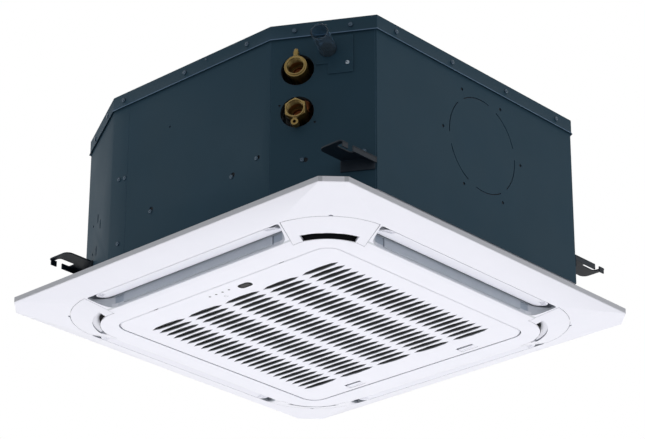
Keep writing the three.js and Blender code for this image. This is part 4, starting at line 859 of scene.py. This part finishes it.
@dataclass
class NodeDresser:
    """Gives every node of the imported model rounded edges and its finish.

    Attributes:
        frame: The loaded frame.
        surfaces: Maker of the materials.
        grille_rounding: Edge radius of the grille's fine slats, in millimetres.
        plain_rounding: Edge radius of pieces that ROUNDING_MM doesn't name.
        weld: Distance in millimetres under which points count as one for the rounding.
        flat_angle: Angle in degrees under which faces count as one flat face for it.
    """

    frame: dict[str, Any]
    surfaces: SurfaceMaker
    grille_rounding: float = 0.15
    plain_rounding: float = 0.3
    weld: float = 0.005
    flat_angle: float = 0.5

    def build(self) -> list[bpy.types.Object]:
        """Dress all nodes.

        Returns:
            The nodes' objects.
        """
        slots = {s["node"]: s["material_slot"] for s in self.frame["record"]["subparts"]}
        for name, node in self.frame["nodes"].items():
            slot = slots[name]
            self._paint(node, self.surfaces.material(OWN_FINISHES.get(name, FINISHES[slot])))
            rounding = ROUNDING_MM.get(slot, self.plain_rounding)
            self._round_edges(node, self.grille_rounding if name == "intake_grille" else rounding)
        return list(self.frame["nodes"].values())

    @staticmethod
    def _paint(node: bpy.types.Object, material: bpy.types.Material) -> None:
        """Put a material in every slot of a node's object.

        Args:
            node: The node's object.
            material: Its material.
        """
        if not node.material_slots:
            node.data.materials.append(material)
        for place in node.material_slots:
            place.link = "OBJECT"
            place.material = material

    def _round_edges(self, node: bpy.types.Object, rounding: float) -> None:
        """Shade a node smoothly and round its edges by modifiers; its own points stay.

        Args:
            node: The node's object.
            rounding: Edge radius in millimetres.
        """
        custom = node.data.attributes.get("custom_normal")
        if custom:
            node.data.attributes.remove(custom)
        node.data.polygons.foreach_set("use_smooth", [True] * len(node.data.polygons))
        weld = node.modifiers.new("weld", "WELD")
        weld.merge_threshold = self.weld * MM
        planar = node.modifiers.new("planar", "DECIMATE")
        planar.decimate_type = "DISSOLVE"
        planar.angle_limit = math.radians(self.flat_angle)
        soften(node, rounding)


# ------------------------------------------------------------------------------ body details


@dataclass(frozen=True)
class Screw:
    """A pan-head screw with a cross recess, standing on +Z.

    Attributes:
        radius: Radius of the head, in millimetres.
        height: Height of the head.
        recess: Radius of the cross recess, as a share of the head's.
        sunk: How far the head's rim reaches under the surface, in millimetres.
    """

    radius: float
    height: float
    recess: float = 0.45
    sunk: float = 0.3

    def add(self, form: bmesh.types.BMesh, matrix: Matrix) -> None:
        """Add one screw head.

        Args:
            form: Mesh to add to.
            matrix: Where it goes; its own +Z points out of the surface.
        """
        r, h = self.radius, self.height
        recess = r * self.recess
        lathe(form, [(r, -self.sunk), (r, h * 0.35), (r * 0.86, h * 0.78), (r * 0.55, h),
                     (recess, h), (recess * 0.7, h * 0.45), (AXIS, h * 0.3)], 20, matrix)
        for quarter in range(4):
            arm = matrix @ Matrix.Rotation((quarter + 0.5) * RIGHT_ANGLE, 4, "Z")
            box(form, (recess * 0.35, -recess * 0.3, h * 0.4), (recess, recess * 0.3, h * 0.96),
                arm)


@dataclass(frozen=True)
class HangerHook:
    """A sheet hook: plate with a side-entry slot, folded lips and a flange on the casing.

    Sizes are millimetres from the body's middle, as they are in the +X +Y corner; the signs
    mirror them into the others. Heights are above the ceiling plane.

    Attributes:
        sign_x: Side of the corner along X, 1 or -1.
        sign_y: Side along Y.
        plate: Underside and upper side of the plate.
        lip_low: Lower end of the folded lips.
        lip_top: How far a lip's top stays under the plate's upper side.
        lip_ends: How far the lips stay clear of the casing and of the tip.
        edge: Outer edge along X, where the lips are.
        tip: Outer edge along Y.
        inner: Inner edge along X.
        sheet: Thickness of the lips.
        mouth: Start and end of the slot's mouth along Y.
        slot: Start and end of the slot along Y.
        slot_inner: Inner edge of the slot along X; it reaches out to the lip.
        tip_radii: Radius of the tip's inner and outer corner.
        mouth_radius: Radius of the mouth's corners.
        slot_radii: Radius of the slot's corners at its inner edge and at the lip.
        flange: Start and end of the flange along the slanting face.
        flange_low: Lower end of the flange.
        flange_depth: Inner and outer face of the flange, from the lid's outer face.
        casing_gap: How far along Y the plate's root stands in from the lid's outer face.
    """

    sign_x: int
    sign_y: int
    plate: tuple[float, float] = (68.0, 70.0)
    lip_low: float = 61.4
    lip_top: float = 0.6
    lip_ends: tuple[float, float] = (0.6, 4.0)
    edge: float = 286.0
    tip: float = 285.5
    inner: float = 245.3
    sheet: float = 2.0
    mouth: tuple[float, float] = (261.0, 271.0)
    slot: tuple[float, float] = (248.0, 277.5)
    slot_inner: float = 270.5
    tip_radii: tuple[float, float] = (10.0, 5.0)
    mouth_radius: float = 0.8
    slot_radii: tuple[float, float] = (5.0, 1.5)
    flange: tuple[float, float] = (24.0, 71.0)
    flange_low: float = 52.0
    flange_depth: tuple[float, float] = (-1.15, 1.35)
    casing_gap: float = 1.42

    def build(self) -> bmesh.types.BMesh:
        """Build the hook.

        Returns:
            Its mesh.
        """
        form = bmesh.new()
        place = Matrix.Translation(BODY_SHIFT) @ Matrix.Diagonal(
            (self.sign_x * MM, self.sign_y * MM, MM, 1))
        plate(form, self._outline(), *self.plate, place)
        low, high = self.mouth
        top = self.plate[1] - self.lip_top
        clear_casing, clear_tip = self.lip_ends
        for start, end in ((high, self.tip - clear_tip),
                           (self._casing(self.edge) + clear_casing, low)):
            box(form, (self.edge - self.sheet, start, self.lip_low), (self.edge, end, top), place)
        side = -self.sign_x * self.sign_y
        first, last = sorted(side * a for a in self.flange)
        box(form, (first, self.flange_low, self.flange_depth[0]),
            (last, self.plate[1], self.flange_depth[1]),
            corner_cut(self.sign_x, self.sign_y).at(0.0, 0.0))
        return form

    def _outline(self) -> list[Vector]:
        """Draw the plate's outline round its slot.

        Returns:
            Points of the outline in millimetres.
        """
        near, far = self.slot
        low, high = self.mouth
        inside = self.edge - self.sheet
        at_slot, at_lip = self.slot_radii
        return rounded([
            (self.inner, self._casing(self.inner), 0), (self.inner, self.tip, self.tip_radii[0]),
            (self.edge, self.tip, self.tip_radii[1]), (self.edge, high, self.mouth_radius),
            (inside, high, 0), (inside, far, at_lip), (self.slot_inner, far, at_slot),
            (self.slot_inner, near, at_slot), (inside, near, at_lip), (inside, low, 0),
            (self.edge, low, self.mouth_radius), (self.edge, self._casing(self.edge), 0),
        ])

    def _casing(self, u: float) -> float:
        """Where the slanting casing sheet stands along Y, at a distance u along X."""
        return BODY_HALF - CUT_Y * (u - BODY_HALF + CUT_X) / CUT_X - self.casing_gap


@dataclass(frozen=True)
class BodyDetails:
    """Hooks, screws and threads of the steel body.

    Places along a face are millimetres from its middle, to the right seen from outside.

    Attributes:
        surfaces: Maker of the materials.
        lid_screw: Screws round the lid's rim.
        casing_screw: Screws of the casing and of the drain plate.
        small_screw: The small one over the rim's front screws.
        lid_screw_z: Height of the rim's screws.
        front_places: Places of the screws on the rim's front; the back mirrors them.
        right_places: The same on the right; the left mirrors them.
        corner_places: The same on each slanting corner.
        small_place: Place and height of the small screw.
        drain_places: Place and height of the drain plate's screws.
        drain_screws_back: How far those screws stand back from the lid's outer face.
        casing_places: Face, place and height of the casing's screws.
        hook_rounding: Edge radius of the hooks.
        union_place: Place of both unions on the pipe corner.
        union_heights: Their heights.
        union_out: How far their mouths stand out of the corner.
        thread_radii: Radius at the root and at the crest of the inside thread.
        thread_pitch: Pitch of a 3/4 inch pipe thread, 14 to the inch.
        thread_turns: Turns that are drawn.
        thread_inset: How far the thread ends behind the mouth.
    """

    surfaces: SurfaceMaker
    lid_screw: Screw = Screw(3.6, 1.9)
    casing_screw: Screw = Screw(3.2, 1.6)
    small_screw: Screw = Screw(2.0, 1.0)
    lid_screw_z: float = 274.0
    front_places: tuple[float, ...] = (-136.0, -10.4, 112.7)
    right_places: tuple[float, ...] = (-175.2, -56.8, 62.2, 178.1)
    corner_places: tuple[float, ...] = (-40.8, 37.8)
    small_place: tuple[float, float] = (32.2, 279.5)
    drain_places: tuple[tuple[float, float], ...] = ((-4.5, 249.5), (33.4, 216.2))
    drain_screws_back: float = 0.1
    casing_places: tuple[tuple[Face, float, float], ...] = (
        (FRONT, -140.6, 149.0), (FRONT, -128.6, 147.5), (FRONT, -138.1, 48.0),
        (FRONT, 133.0, 92.2), (FRONT, 86.0, 79.8), (FRONT, -72.8, 78.0),
        (PIPE_CORNER, -29.1, 77.0), (PIPE_CORNER, 56.3, 80.8),
    )
    hook_rounding: float = 0.45
    union_place: float = -36.5
    union_heights: tuple[float, float] = (214.0, 150.0)
    union_out: float = 11.5
    thread_radii: tuple[float, float] = (12.02, 11.2)
    thread_pitch: float = 1.814
    thread_turns: int = 6
    thread_inset: float = 0.4

    def build(self) -> list[bpy.types.Object]:
        """Add all the small pieces of the body.

        Returns:
            The new pieces.
        """
        return [*self._hooks(), self._lid_screws(), self._drain_plate_screws(),
                self._casing_screws(), self._union_threads()]

    def _hooks(self) -> list[bpy.types.Object]:
        """Put hooks with folded lips in the places of the solids' plain sheet hooks.

        Returns:
            The four hooks.
        """
        hooks = []
        for number in range(1, 5):
            node = f"hanger_bracket_{number}"
            low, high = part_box(node)
            middle = (low + high) / 2 - BODY_SHIFT
            hook = HangerHook(1 if middle.x > 0 else -1, 1 if middle.y > 0 else -1)
            piece = new_object(f"hanger_hook_{number}", hook.build(),
                               self.surfaces.material(FINISHES["bracket_steel"]))
            soften(piece, self.hook_rounding)
            hooks.append(seat(piece, "cassette"))
            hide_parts(node)
        return hooks

    def _lid_screws(self) -> bpy.types.Object:
        """Set the screws round the rim of the lid.

        Returns:
            All of them as one piece.
        """
        back_places = [-a for a in reversed(self.front_places)]
        left_places = [-a for a in reversed(self.right_places)]
        rows = [(FRONT, self.front_places), (RIGHT, self.right_places), (BACK, back_places),
                (LEFT, left_places)]
        rows += [(corner_cut(*signs), self.corner_places)
                 for signs in ((1, -1), (-1, -1), (1, 1), (-1, 1))]
        form = bmesh.new()
        for face, places in rows:
            for along in places:
                self.lid_screw.add(form, face.at(along, self.lid_screw_z))
        self.small_screw.add(form, FRONT.at(*self.small_place))
        return self._piece(form, "lid_screws", COATED_SCREW)

    def _drain_plate_screws(self) -> bpy.types.Object:
        """Set the two bright screws of the drain plate.

        Returns:
            Both as one piece.
        """
        form = bmesh.new()
        for along, height in self.drain_places:
            self.casing_screw.add(form, PIPE_CORNER.at(along, height, -self.drain_screws_back))
        return self._piece(form, "drain_plate_screws", SCREW_STEEL)

    def _casing_screws(self) -> bpy.types.Object:
        """Set the coated screws of the casing's sheets.

        Returns:
            All of them as one piece.
        """
        form = bmesh.new()
        for face, along, height in self.casing_places:
            self.casing_screw.add(form, face.at(along, height, -SHEET_FACE))
        return self._piece(form, "casing_screws", COATED_SCREW)

    def _union_threads(self) -> bpy.types.Object:
        """Add the inside threads at the mouths of the two unions.

        Returns:
            Both threads as one piece.
        """
        root, crest = self.thread_radii
        pitch = self.thread_pitch
        tooth = [(root, 0.0), (crest, pitch * 0.5), (root, pitch)]
        start = self.union_out - self.thread_inset - pitch * (self.thread_turns + 1)
        form = bmesh.new()
        for height in self.union_heights:
            lathe(form, tooth, 36, PIPE_CORNER.at(self.union_place, height, start), pitch,
                  self.thread_turns)
        return self._piece(form, "union_threads", FINISHES["brass"])

    def _piece(self, form: bmesh.types.BMesh, name: str, finish: Finish) -> bpy.types.Object:
        """Make a piece of the body from a mesh."""
        return seat(new_object(name, form, self.surfaces.material(finish)), "cassette")


# ------------------------------------------------------------------------------ panel details


@dataclass(frozen=True)
class PanelDetails:
    """Fine pieces of the decorative panel; all sizes are millimetres.

    Attributes:
        surfaces: Maker of the materials.
        painted_shade_lining: Section (radius, height) of the black sheet of painted shade inside a
            corner slot.
        ramp: The same for its white guide ramp.
        slot_start: Direction in degrees in which the slot's arc starts, from its centre.
        slot_sweep: Degrees that it sweeps.
        slot_steps: Steps in which the arc is drawn.
        rib_count: Ribs at each end of a louvre.
        rib_pitch: Distance between them.
        rib_start: Distance of the first one from the louvre's end.
        rib_inset: Distance of a rib from the louvre's outer edge.
        rib_length: Length of a rib.
        rib_section: Points (along, height) across a rib.
        blade_corner: How far the louvre's corner is drawn in at its very end.
        blade_corner_ribs: Length of that corner, in ribs.
        net_pitch: Distance between strands, about twice that of a real net, so that it shows.
        net_strand: Thickness of a strand.
        net_edge: Width of the filter's frame.
        net_depth: How far the net lies under the frame's upper side.
        lamp_first: Place of the first status lamp.
        lamp_pitch: Distance between the lamps.
        lamp_count: Number of lamps.
        lens: Profile (radius, height) of a lens, downward from the grille's face.
        window: Middle of the receiver window.
        bezel_half: Half the length and half the width of its bezel.
        bezel_radius: Corner radius of the bezel.
        bezel_proud: How far it stands out of the grille's face.
        bezel_sunk: How far it reaches in.
    """

    surfaces: SurfaceMaker
    painted_shade_lining: tuple[tuple[float, float], ...] = ((68.25, -32.7), (68.2, -22.4), (71.0, -22.4))
    ramp: tuple[tuple[float, float], ...] = ((79.6, -27.2), (74.4, -25.6), (69.2, -23.2))
    slot_start: float = -78.5
    slot_sweep: float = 67.0
    slot_steps: int = 24
    rib_count: int = 9
    rib_pitch: float = 1.9
    rib_start: float = 1.6
    rib_inset: float = 1.0
    rib_length: float = 9.0
    rib_section: tuple[tuple[float, float], ...] = (
        (-0.55, 0.5), (-0.3, -0.55), (0.3, -0.55), (0.55, 0.5),
    )
    blade_corner: float = 15.0
    blade_corner_ribs: float = 9.6
    net_pitch: float = 3.0
    net_strand: float = 0.35
    net_edge: float = 6.0
    net_depth: float = 0.4
    lamp_first: tuple[float, float] = (-32.0, -191.6)
    lamp_pitch: float = 12.4
    lamp_count: int = 4
    lens: tuple[tuple[float, float], ...] = ((1.75, 0.2), (1.75, 0.0), (1.2, -0.14), (AXIS, -0.19))
    window: tuple[float, float] = (33.0, -188.0)
    bezel_half: tuple[float, float] = (12.0, 6.4)
    bezel_radius: float = 6.3
    bezel_proud: float = 0.16
    bezel_sunk: float = 0.3

    def build(self) -> list[bpy.types.Object]:
        """Add all the small pieces of the panel.

        Returns:
            The new pieces.
        """
        pieces = []
        for quarter, side in enumerate(SIDES):
            # A black sheet of painted shade inside each corner slot, and the white guide ramp beside
            # it.
            pieces.append(self._slot_arc(f"corner_slot_shade_sheet_{side}", quarter, self.painted_shade_lining,
                                         SLOT_SHADE_AND_BEZEL_BLACK))
            pieces.append(self._slot_arc(f"corner_guide_{side}", quarter, self.ramp, WHITE))
        pieces += [self._blade_ribs(quarter, side) for quarter, side in enumerate(SIDES)]
        return [*pieces, self._filter_net(), self._lamp_lenses(), self._receiver_bezel()]

    def _slot_arc(self, name: str, quarter: int, section: Sequence[tuple[float, float]],
                  finish: Finish) -> bpy.types.Object:
        """Sweep a section along the arc of one corner slot.

        Args:
            name: Name of the piece.
            quarter: Which corner, in quarter turns.
            section: Points (radius, height) of the section.
            finish: Its finish.

        Returns:
            The new piece.
        """
        form = bmesh.new()
        place = turn(quarter)
        centre = Vector((CORNER_SLOT_CENTRE, -CORNER_SLOT_CENTRE, 0.0))
        rows = []
        for i in range(self.slot_steps + 1):
            angle = math.radians(self.slot_start + self.slot_sweep * i / self.slot_steps)
            reach = Vector((math.cos(angle), math.sin(angle), 0.0))
            rows.append([
                form.verts.new(place @ (centre + reach * r + Vector((0, 0, z))))
                for r, z in section
            ])
        for here, ahead in zip(rows, rows[1:]):
            strip(form, here, ahead)
        return seat(new_object(name, form, self.surfaces.material(finish)), "cassette")

    def _blade_ribs(self, quarter: int, side: str) -> bpy.types.Object:
        """Add the fine ribs across the rounded outer corners of one louvre.

        Args:
            quarter: Which louvre, in quarter turns.
            side: Its side, as in the names of the bodies.

        Returns:
            All its ribs as one piece.
        """
        form = bmesh.new()
        for end in (-1, 1):
            for i in range(self.rib_count):
                along = end * (BLADE_HALF - self.rib_start - self.rib_pitch * i)
                reach = (self.rib_count - i) / self.blade_corner_ribs
                drawn_in = self.blade_corner * (1 - math.sqrt(1 - reach**2))
                self._rib(form, turn(quarter), along, BLADE_OUTER - self.rib_inset - drawn_in)
        piece = new_object(f"louvre_ribs_{side}", form, self.surfaces.material(WHITE))
        return seat(piece, f"blade_{side}")

    def _rib(self, form: bmesh.types.BMesh, place: Matrix, along: float, outer: float) -> None:
        """Add one rib that follows the underside of a louvre.

        Args:
            form: Mesh to add to.
            place: Matrix of the louvre.
            along: Place of the rib along the louvre.
            outer: Distance of its outer end from the panel's middle.
        """
        rows = []
        for w in (outer, outer - self.rib_length / 2, outer - self.rib_length):
            low = blade_underside(w)
            rows.append([form.verts.new(place @ Vector((along + x, -w, low + z)))
                         for x, z in self.rib_section])
        for here, ahead in zip(rows, rows[1:]):
            strip(form, [*here, here[0]], [*ahead, ahead[0]])
        form.faces.new(rows[0])
        form.faces.new(rows[-1])

    def _filter_net(self) -> bpy.types.Object:
        """Stretch a fine net over the filter frame.

        Returns:
            The net.
        """
        low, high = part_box("air_filter")
        form = bmesh.new()
        scale = Matrix.Scale(MM, 4)
        level = high.z / MM - self.net_depth
        strand = self.net_strand
        x0, y0 = (v / MM + self.net_edge for v in (low.x, low.y))
        x1, y1 = (v / MM - self.net_edge for v in (high.x, high.y))
        for i in range(int((x1 - x0) / self.net_pitch) + 1):
            x = x0 + i * self.net_pitch
            box(form, (x, y0, level), (x + strand, y1, level + strand), scale)
        for j in range(int((y1 - y0) / self.net_pitch) + 1):
            y = y0 + j * self.net_pitch
            box(form, (x0, y, level - strand), (x1, y + strand, level), scale)
        piece = new_object("filter_net", form, self.surfaces.material(FILTER_NET))
        return seat(piece, "grille")

    def _lamp_lenses(self) -> bpy.types.Object:
        """Set small domed lenses over the status lamps.

        Returns:
            All of them as one piece.
        """
        form = bmesh.new()
        x, y = self.lamp_first
        for i in range(self.lamp_count):
            spot = Matrix.Translation((x + self.lamp_pitch * i, y, FACE_Z))
            lathe(form, self.lens, 16, Matrix.Scale(MM, 4) @ spot)
        piece = new_object("lamp_lenses", form, self.surfaces.material(LAMP_LENS))
        return seat(piece, "grille")

    def _receiver_bezel(self) -> bpy.types.Object:
        """Set the thin dark bezel round the receiver window.

        Returns:
            The bezel.
        """
        form = bmesh.new()
        half_x, half_y = self.bezel_half
        corners = [(x * half_x, y * half_y, self.bezel_radius)
                   for x, y in ((-1, -1), (1, -1), (1, 1), (-1, 1))]
        spot = Matrix.Scale(MM, 4) @ Matrix.Translation((*self.window, 0.0))
        plate(form, rounded(corners), FACE_Z - self.bezel_proud, FACE_Z + self.bezel_sunk, spot)
        piece = new_object("receiver_bezel", form, self.surfaces.material(SLOT_SHADE_AND_BEZEL_BLACK))
        return seat(piece, "grille")


# ------------------------------------------------------------------------------ studio


@dataclass(frozen=True)
class Softbox:
    """One square area light.

    Attributes:
        name: Name of the light.
        azimuth: Direction it stands in, degrees; 0 is the -Y side, 90 the +X side.
        elevation: Degrees above the horizon.
        distance: Metres from the object.
        size: Edge length in metres.
        power: Watts.
    """

    name: str
    azimuth: float
    elevation: float
    distance: float
    size: float
    power: float


@dataclass(frozen=True)
class Studio:
    """Camera, lights, world and floor.

    The camera looks up at the cassette from the corner with the pipe fittings.

    Attributes:
        azimuth: Direction of the camera, in degrees as for a softbox.
        elevation: Degrees above the horizon.
        roll: Degrees that the picture is turned.
        distance: Metres from the middle of the ceiling plane.
        focal_px: Focal length in pixels of the picture.
        image: Width and height of the picture in pixels.
        origin_px: Where the middle of the ceiling plane falls in the picture.
        sensor_mm: Width of the sensor.
        clip_end: How far the camera sees, in metres.
        world_light: Strength of the white world as a light.
        floor_z: Height of the floor in metres; views from far below still stay over it.
        floor_radius: Radius of the floor in metres.
        aim_z: Height that the softboxes are aimed at, in metres.
        softboxes: The lights.
    """

    azimuth: float = 42.943
    elevation: float = -24.778
    roll: float = -0.264
    distance: float = 3.594
    focal_px: float = 2498.21
    image: tuple[int, int] = (645, 439)
    origin_px: tuple[float, float] = (320.711, 308.32)
    sensor_mm: float = 36.0
    clip_end: float = 50.0
    world_light: float = 0.38
    floor_z: float = -9.0
    floor_radius: float = 16.0
    aim_z: float = 0.1
    softboxes: tuple[Softbox, ...] = (
        Softbox("key_left", -40.0, -12.0, 3.2, 1.8, 16.0),
        Softbox("fill_right", 122.0, -10.0, 3.2, 1.8, 22.0),
        Softbox("under", 220.0, -87.0, 2.2, 2.2, 39.5),
        Softbox("top", 200.0, 60.0, 3.2, 2.0, 24.0),
    )

    def build(self) -> list[bpy.types.Object]:
        """Set up everything that isn't part of the object.

        Returns:
            Floor, lights and camera.
        """
        self._world()
        bpy.context.scene.view_settings.view_transform = "Standard"
        return [self._floor(), *(self._light(s) for s in self.softboxes), self._camera()]

    @staticmethod
    def _direction(azimuth: float, elevation: float) -> Vector:
        """Unit vector towards an azimuth and an elevation, both in degrees."""
        a, e = math.radians(azimuth), math.radians(elevation)
        return Vector((math.sin(a) * math.cos(e), -math.cos(a) * math.cos(e), math.sin(e)))

    def _camera(self) -> bpy.types.Object:
        """Set the camera at the photograph's angle, moved sideways to match its framing.

        Returns:
            The camera.
        """
        back = self._direction(self.azimuth, self.elevation)
        level = Vector((0, 0, 1)).cross(back).normalized()
        right = Matrix.Rotation(math.radians(-self.roll), 3, back) @ level
        up = back.cross(right)
        per_px = self.distance / self.focal_px
        off_x = (self.origin_px[0] - self.image[0] / 2) * per_px
        off_y = (self.origin_px[1] - self.image[1] / 2) * per_px
        data = bpy.data.cameras.new("camera")
        data.sensor_width = self.sensor_mm
        data.lens = self.focal_px * self.sensor_mm / self.image[0]
        data.clip_end = self.clip_end
        camera = bpy.data.objects.new("camera", data)
        axes = Matrix((right, up, back)).transposed().to_4x4()
        spot = back * self.distance - right * off_x + up * off_y
        camera.matrix_world = Matrix.Translation(spot) @ axes
        bpy.context.scene.collection.objects.link(camera)
        bpy.context.scene.camera = camera
        return camera

    def _light(self, softbox: Softbox) -> bpy.types.Object:
        """Hang one softbox, facing the object.

        Args:
            softbox: The light to make.

        Returns:
            The light.
        """
        data = bpy.data.lights.new(softbox.name, "AREA")
        data.shape = "SQUARE"
        data.size = softbox.size
        data.energy = softbox.power
        lamp = bpy.data.objects.new(softbox.name, data)
        away = self._direction(softbox.azimuth, softbox.elevation)
        lamp.location = away * softbox.distance + Vector((0, 0, self.aim_z))
        lamp.rotation_mode = "QUATERNION"
        lamp.rotation_quaternion = away.to_track_quat("Z", "Y")
        bpy.context.scene.collection.objects.link(lamp)
        return lamp

    def _world(self) -> None:
        """Make the world white to the camera, to mirrors and through glass, softer as a light."""
        world = bpy.data.worlds.new("studio")
        bpy.context.scene.world = world
        canvas = Canvas(world)
        path = canvas.add("ShaderNodeLightPath").outputs
        shiny = canvas.add("ShaderNodeMath", {
            0: path["Is Glossy Ray"], 1: path["Is Transmission Ray"],
        }, operation="MAXIMUM")
        seen = canvas.add("ShaderNodeMath", {0: path["Is Camera Ray"], 1: shiny.outputs[0]},
                          operation="MAXIMUM")
        strength = canvas.add("ShaderNodeMapRange", {
            "Value": seen.outputs[0], "To Min": self.world_light, "To Max": 1.0,
        })
        background = canvas.add("ShaderNodeBackground", {
            "Color": PURE_WHITE, "Strength": strength.outputs["Result"],
        })
        canvas.add("ShaderNodeOutputWorld", {"Surface": background.outputs["Background"]})

    def _floor(self) -> bpy.types.Object:
        """Lay a pale round floor far below the unit, plain white to the camera.

        Returns:
            The floor.
        """
        form = bmesh.new()
        bmesh.ops.create_circle(form, cap_ends=True, segments=64, radius=self.floor_radius)
        material = bpy.data.materials.new("studio_floor")
        canvas = Canvas(material)
        noise = canvas.add("ShaderNodeTexNoise", {"Scale": 3.0})
        tone = canvas.add("ShaderNodeMapRange",
                          {"Value": noise.outputs["Fac"], "To Min": 0.86, "To Max": 0.9})
        diffuse = canvas.add("ShaderNodeBsdfDiffuse", {"Color": tone.outputs["Result"]})
        white = canvas.add("ShaderNodeEmission", {"Color": PURE_WHITE, "Strength": 1.0})
        seen = canvas.add("ShaderNodeLightPath").outputs["Is Camera Ray"]
        shader = canvas.add("ShaderNodeMixShader", {
            0: seen, 1: diffuse.outputs["BSDF"], 2: white.outputs["Emission"],
        })
        canvas.add("ShaderNodeOutputMaterial", {"Surface": shader.outputs["Shader"]})
        floor = new_object("floor", form, material)
        floor.location.z = self.floor_z
        return floor


# ------------------------------------------------------------------------------ run


def main(frame: dict[str, Any]) -> None:
    """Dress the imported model, add its fine pieces, set up the studio and report each piece.

    Args:
        frame: The loaded frame, with its nodes and its record.
    """
    logging.basicConfig(level=logging.INFO)
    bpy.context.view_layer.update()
    surfaces = SurfaceMaker()
    makers = (NodeDresser(frame, surfaces), BodyDetails(surfaces), PanelDetails(surfaces),
              Studio())
    for maker in makers:
        for piece in maker.build():
            log.info("%s: %s", type(maker).__name__, piece.name)


if __name__ == "__main__":
    main(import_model())
